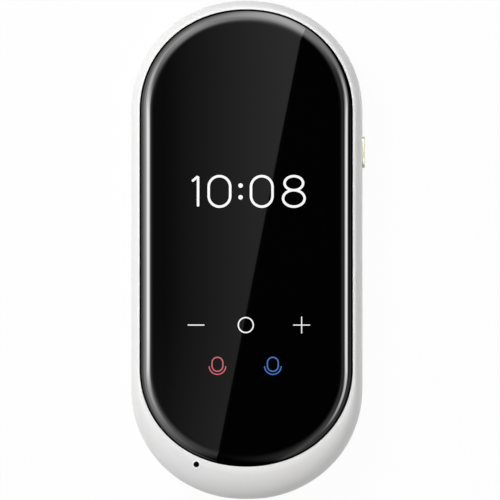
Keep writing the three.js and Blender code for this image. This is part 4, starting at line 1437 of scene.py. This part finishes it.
def stroke(path, width, closed, lift=0.0):
    # a flat band of four-point sections along a path; an open one draws in to half rounds at its ends
    base, top = glassHigh[2] - symbolLook["sunk"], glassHigh[2] - lift
    if closed:
        ahead, behind = np.roll(path, -1, axis=0), np.roll(path, 1, axis=0)
    else:
        ahead, behind = np.vstack([path[1:], path[-1:]]), np.vstack([path[:1], path[:-1]])
    along = ahead - behind
    along /= np.linalg.norm(along, axis=1)[:, None]
    side = np.column_stack([-along[:, 1], along[:, 0]])
    half = np.full(len(path), width / 2)
    if not closed:
        steps = np.linalg.norm(np.diff(path, axis=0), axis=1)
        run = np.concatenate([[0.0], np.cumsum(steps)])
        nearest = np.minimum(run, run[-1] - run)
        inside = np.clip(1 - nearest / (width / 2), 0, 1)
        half = np.maximum(half * np.sqrt(1 - inside ** 2), 2 * thinnest)
    left, right = path + side * half[:, None], path - side * half[:, None]
    section = [(right, base), (left, base), (left, top), (right, top)]
    grid = np.stack([np.column_stack([points, np.full(len(points), z)]) for points, z in section], axis=1)
    return gridPiece("stroke", grid, loop=closed, capFirst=not closed, capLast=not closed)


def symbol(name, strokes, colour, slot):
    # the strokes joined to one piece that glows in its own colour
    look = symbolLook
    pieces = []
    for i, (path, width, closed) in enumerate(strokes):
        pieces.append(stroke(path, width, closed, look["layer"] * i))
    piece = joined(pieces)
    piece.name = name
    bpy.context.view_layer.objects.active = piece
    bpy.ops.object.mode_set(mode="EDIT")
    bpy.ops.mesh.select_all(action="SELECT")
    bpy.ops.mesh.normals_make_consistent(inside=False)
    bpy.ops.object.mode_set(mode="OBJECT")
    return finished(piece, slot, "device", sharp=50, material=litSymbol(name + "Light", look[colour]))


def lensCentre(name):
    # the middle of a symbol's lens, with the small shift of all symbols
    low, high = boxOf("lens_" + name)
    return (low[:2] + high[:2]) / 2 + symbolLook["shift"]


def symbols():
    # minus, plus, ring and the two microphone symbols, each over its own lens
    look = symbolLook
    centre = lensCentre("minus")
    reach = (look["minusLength"] / 2, 0)
    bar = straight(centre - reach, centre + reach)
    symbol("symbolMinus", [(bar, look["minusStroke"], False)], "white", "white_lens")
    centre = lensCentre("plus")
    reach = look["plusLength"] / 2
    bars = [straight(centre - step, centre + step) for step in ((reach, 0), (0, reach))]
    symbol("symbolPlus", [(bar, look["plusStroke"], False) for bar in bars], "white", "white_lens")
    radius = (look["ringWidth"] - look["ringStroke"]) / 2
    loop = oval(radius, radius, lensCentre("ring"), look["ringPoints"])
    symbol("symbolRing", [(loop, look["ringStroke"], True)], "bright", "white_lens")
    width = look["micStroke"]
    for colour in ("red", "blue"):
        centre = lensCentre(colour + "_mic")
        capsule = pill(look["micHeight"] - width, look["micWidth"] - width)[:, ::-1] * (-1, 1)
        spread = (look["cradleWidth"] - width) / 2
        cradle = arc(spread, spread, 180, 360, centre)
        strokes = [(capsule + centre + (0, look["micShift"]), width, True)]
        strokes.append((cradle, width * look["cradleStroke"], False))
        symbol(colour + "MicSymbol", strokes, colour, colour + "_lens")


# the eight's two loops share its height by eightShares, and the upper one is narrower by eightWaist
readoutShape = {
    "centreY": 13.45,
    "height": 7.55,
    "width": 5.5,
    "stroke": 0.57,
    "ovalPoints": 64,
    "oneX": -11.0,
    "flag": (-1.4, -1.2),
    "tensX": -6.1,
    "colonX": -1.25,
    "unitsX": 3.6,
    "eightX": 10.95,
    "eightShares": (0.46, 0.54),
    "eightWaist": 0.86,
    "colonRise": 1.35,
    "dotRadius": 0.26,
    "dotFill": 1.98,
    "dotPoints": 24,
}


def readout():
    # 10:08 in round thin strokes
    shape = readoutShape
    width, points = shape["stroke"], shape["ovalPoints"]
    half, reach = shape["height"] / 2 - width / 2, shape["width"] / 2 - width / 2
    y = shape["centreY"]
    top, bottom = y + half, y - half

    def zero(x):
        upper = arc(reach, reach, 0, 180, (x, y + half - reach), points // 2)
        lower = arc(reach, reach, 180, 360, (x, y - half + reach), points // 2)
        return (np.vstack([upper, lower]), width, True)

    x = shape["oneX"]
    strokes = [(straight((x, bottom), (x, top)), width, False)]
    strokes.append((straight((x, top), np.array([x, top]) + shape["flag"]), width, False))
    strokes += [zero(shape["tensX"]), zero(shape["unitsX"])]
    x = shape["eightX"]
    upper, lower = [half * share for share in shape["eightShares"]]
    strokes.append((oval(reach * shape["eightWaist"], upper, (x, top - upper), points), width, True))
    strokes.append((oval(reach, lower, (x, bottom + lower), points), width, True))
    radius = shape["dotRadius"]
    for rise in (-shape["colonRise"], shape["colonRise"]):
        dot = oval(radius, radius, (shape["colonX"], y + rise), shape["dotPoints"])
        strokes.append((dot, radius * shape["dotFill"], True))
    return symbol("readout", strokes, "bright", "white_lens")


symbols()
readout()
print("symbols made")


# Studio: pale floor, white surround, soft lamps, and a sheet that only the gloss sees. Sizes are in
# millimetres, and pixels are those of a picture as wide as given here

studio = {
    "pixel": 0.2295,
    "width": 500,
    "lens": 1200.0,
    "sensor": 36.0,
    "clipEnd": 20000.0,
    "yaw": 1.6,
    "bodyCentre": (246.83, 250.1),
    "beltZ": 5.6,
    "floorSize": 2400.0,
    "floorZ": -0.02,
    "whiteShare": 0.955,
    "paper": (0.4, 4.0),
    "paperColours": (rgb(0.84, 0.84, 0.84), rgb(0.87, 0.87, 0.87)),
    "paperRoughness": 0.9,
    "white": rgb(1, 1, 1),
    "fill": 0.18,
    "cardHeight": 240.0,
    "diagonal": ((302.8, 28.0), (216.4, 462.0)),
    "glassPixel": 246.18,
}


def makeCamera():
    # a long lens, turned a little about the upright axis, with the body centred where the photograph has it
    camera = bpy.data.cameras.new("camera")
    camera.lens = studio["lens"]
    camera.sensor_width = studio["sensor"]
    camera.clip_end = studio["clipEnd"] * mm
    eye = bpy.data.objects.new("camera", camera)
    bpy.context.scene.collection.objects.link(eye)
    middle = studio["width"] / 2
    reach = middle * studio["pixel"] * studio["lens"] / (studio["sensor"] / 2)
    yaw = math.radians(studio["yaw"])
    aimX = (middle - studio["bodyCentre"][0]) * studio["pixel"]
    aimY = (studio["bodyCentre"][1] - middle) * studio["pixel"]
    aim = np.array([aimX, aimY, studio["beltZ"]])
    place = aim + reach * np.array([math.sin(yaw), 0, math.cos(yaw)])
    eye.location = place * mm
    eye.rotation_euler = (0, yaw, 0)
    bpy.context.scene.camera = eye
    return place


def glossOnly(sheet):
    # only glossy rays meet the sheet
    sheet.visible_camera = False
    sheet.visible_diffuse = False
    sheet.visible_transmission = False
    sheet.visible_shadow = False
    sheet.visible_volume_scatter = False


def reflectedTo(place, x, y, z):
    # where the camera's ray goes after it meets the flat glass at (x, y), at height z
    top = glassHigh[2]
    mirror = np.array([place[0], place[1], 2 * top - place[2]])
    share = (z - mirror[2]) / (top - mirror[2])
    return (mirror[0] + (x - mirror[0]) * share, mirror[1] + (y - mirror[1]) * share, z)


def glassPoint(pixel):
    # where a pixel lies on the glass
    x = (pixel[0] - studio["glassPixel"]) * studio["pixel"]
    y = (studio["bodyCentre"][1] - pixel[1]) * studio["pixel"]
    return np.array([x, y])


# the sheet's light, by the distance from the segment that runs along the glass's middle: where the flat
# glass ends, how the rolled edge packs what lies beyond it, and the pale field that ends at the diagonal
softLight = {
    "segment": (-27.0, 32.0),
    "size": 2000.0,
    "flatReach": (22.1, 23.1),
    "edgeSpan": 3.9,
    "edgeHalf": 130.0,
    "lowerShift": 0.7,
    "fieldStart": (-26.0, 4.0),
    "fieldLevel": 0.5,
    "fieldLeast": 0.068,
    "fieldFade": (60.0, 160.0),
    "fieldRise": (36.0, 68.0),
    "fieldGain": 4.0,
}
# the studio's soft boxes by kind: half width and half length, and how far their edges fade
boxKinds = {
    "core": {"half": (20, 40), "soft": (10, 20)},
    "strip": {"half": (26, 90), "soft": (16, 60)},
    "corner": {"half": (30, 55), "soft": (25, 30)},
    "wide": {"half": (80, 170), "soft": (45, 110)},
    "pool": {"half": (75, 150), "soft": (70, 90)},
    "top": {"half": (200, 280), "soft": (90, 45)},
    "far": {"half": (250, 290), "soft": (70, 60)},
    "edge": {"half": (5, 300), "soft": (40, 20)},
}
# where each box hangs and how it is turned, in millimetres and degrees; a cut one ends at the diagonal
softBoxes = {
    "rightCore": {"kind": "core", "at": (120, 0), "turn": 0, "level": 11},
    "rightStrip": {"kind": "strip", "at": (144, -20), "turn": -5, "level": 12},
    "rightCorner": {"kind": "corner", "at": (165, 65), "turn": -60, "level": 3},
    "leftCore": {"kind": "core", "at": (-98, 5), "turn": 0, "level": 12},
    "leftStrip": {"kind": "strip", "at": (-126, 20), "turn": 5, "level": 7},
    "leftCorner": {"kind": "corner", "at": (-70, 120), "turn": 50, "level": 3.5},
    "leftWide": {"kind": "wide", "at": (-150, 0), "turn": 0, "level": 3.5, "cut": True},
    "top": {"kind": "top", "at": (95, 390), "turn": -15, "level": 4.2},
    "besideField": {"kind": "pool", "at": (70, 270), "turn": -15, "level": 5, "cut": True},
    "farUpper": {"kind": "far", "at": (-400, 310), "turn": 0, "level": 2, "cut": True},
    "farLower": {"kind": "far", "at": (-400, -280), "turn": 0, "level": 1.5, "cut": True},
    "farRight": {"kind": "far", "at": (350, -300), "turn": 20, "level": 0.8},
    "rightEdge": {"kind": "edge", "at": (80, -130), "turn": 5, "level": 1.2},
    "lowerMiddle": {"kind": "corner", "at": (-25, -95), "turn": 0, "level": 0.7, "cut": True},
}


def boxLight(finish, box, x, y):
    # full inside, falling off smoothly over the soft width on both sides of each edge
    kind = boxKinds[box["kind"]]
    turn = math.radians(box["turn"])
    cosine, sine = math.cos(turn), math.sin(turn)
    across, along = x - box["at"][0], y - box["at"][1]
    places = (across * cosine + along * sine, along * cosine - across * sine)
    light = box["level"]
    for value, half, soft in zip(places, kind["half"], kind["soft"]):
        away = finish.maths("ABSOLUTE", value, 0)
        light = (1 - finish.within(away, half - soft, half + soft, "SMOOTHSTEP")) * light
    return light


def reflections(place):
    # one wide sheet overhead that only gloss sees: the studio's soft boxes, and a pale field that ends
    # at the diagonal
    look = softLight
    height = studio["cardHeight"]
    middle = reflectedTo(place, 0, 0, height)
    low, high = look["segment"]
    sheet = gridPiece("softLightSheet", stacked([(square(look["size"]), height)]), capFirst=True)
    finish = Finish("softLightSheet")
    x, y = finish.axis("X"), finish.axis("Y")
    across = x - middle[0]
    along = y - finish.maths("MINIMUM", finish.maths("MAXIMUM", y, low), high)
    distance = (across * across + along * along) ** 0.5
    ends = [np.array(reflectedTo(place, *glassPoint(pixel), height)) for pixel in studio["diagonal"]]
    upper, lower = ends
    slope = (lower[0] - upper[0]) / (lower[1] - upper[1])
    flatLow, flatHigh = look["flatReach"]
    flat = (y > 0) * (flatHigh - flatLow) + flatLow
    beyond = finish.maths("MAXIMUM", distance - flat, 0)
    squeezed = beyond / (beyond + look["edgeHalf"]) * look["edgeSpan"]
    onGlass = finish.maths("MINIMUM", distance, flat) + squeezed
    shrink = onGlass / distance
    glassX, glassY = across * shrink + middle[0], y - along * (1 - shrink)
    shift = (y < 0) * finish.clipped(beyond / flatLow) * look["lowerShift"]
    leftOf = glassX < ((glassY - upper[1]) * slope + upper[0] + shift)
    field = finish.within(x, *look["fieldStart"]) * look["fieldLevel"] + look["fieldLeast"]
    inside = 1 - finish.within(distance, *look["fieldFade"])
    gain = (1 - finish.within(distance, *look["fieldRise"])) * look["fieldGain"] + 1
    light = field * leftOf * inside * gain
    for box in softBoxes.values():
        share = boxLight(finish, box, x, y)
        light = light + (share * leftOf if box.get("cut") else share)
    glow = finish.node("ShaderNodeEmission", None, {"Color": light, "Strength": 1.0})
    finish.node("ShaderNodeOutputMaterial", None, {"Surface": glow})
    sheet.data.materials.append(finish.material)
    glossOnly(sheet)


def straightRay(finish):
    # 1 for a ray from the camera, off gloss or through a clear piece
    kinds = ("Is Camera Ray", "Is Glossy Ray", "Is Transmission Ray")
    seen, mirrored, through = [finish.node("ShaderNodeLightPath", output=kind) for kind in kinds]
    return finish.clipped(seen + mirrored + through)


def floorMaterial():
    # white to the camera and in gloss, with a share of its lit colour so that the shadow stays
    look = studio
    finish = Finish("paleFloor")
    seen = straightRay(finish) * look["whiteShare"]
    colour = finish.mix(finish.noise(*look["paper"]), *look["paperColours"])
    matt = {"Base Color": colour, "Roughness": look["paperRoughness"]}
    matt = finish.node("ShaderNodeBsdfPrincipled", None, matt)
    white = finish.node("ShaderNodeEmission", None, {"Color": look["white"], "Strength": 1.0})
    both = finish.node("ShaderNodeMixShader", None, {0: seen, 1: matt, 2: white})
    finish.node("ShaderNodeOutputMaterial", None, {"Surface": both})
    return finish.material


def makeFloor():
    # one square face just under the part
    grid = stacked([(square(studio["floorSize"] / 2), studio["floorZ"])])
    floor = gridPiece("floor", grid, capLast=True)
    floor.data.materials.append(floorMaterial())


def makeWorld():
    # white to the camera and in gloss, and dimmer where it lights the part
    finish = Finish("surround", bpy.data.worlds.new("surround"))
    look = studio
    fill = finish.node("ShaderNodeBackground", None, {"Color": look["white"], "Strength": look["fill"]})
    white = finish.node("ShaderNodeBackground", None, {"Color": look["white"], "Strength": 1.0})
    both = finish.node("ShaderNodeMixShader", None, {0: straightRay(finish), 1: fill, 2: white})
    finish.node("ShaderNodeOutputWorld", None, {"Surface": both})
    bpy.context.scene.world = finish.material


# millimetres and watts; every lamp faces the middle of the part
lamps = {
    "cornerLamp": {"place": (-350, 350, 540), "size": 300, "power": 2.3},
    "leftLamp": {"place": (-600, 0, 220), "size": 300, "power": 0.75},
    "overLamp": {"place": (0, 0, 900), "size": 300, "power": 2.0},
    "rightLamp": {"place": (600, 0, 220), "size": 300, "power": 0.4},
}


def makeLamps():
    # round lamps that gloss doesn't see
    for name, lamp in lamps.items():
        light = bpy.data.lights.new(name, "AREA")
        light.shape = "DISK"
        light.size = lamp["size"] * mm
        light.energy = lamp["power"]
        thing = bpy.data.objects.new(name, light)
        bpy.context.scene.collection.objects.link(thing)
        place = np.array(lamp["place"], float)
        thing.location = place * mm
        down = -place / np.linalg.norm(place)
        thing.rotation_euler = (math.acos(-down[2]), 0, math.atan2(-down[0], down[1]))
        thing.visible_glossy = False


reflections(makeCamera())
makeFloor()
makeWorld()
makeLamps()
bpy.context.scene.view_settings.view_transform = "Standard"
print("studio made")
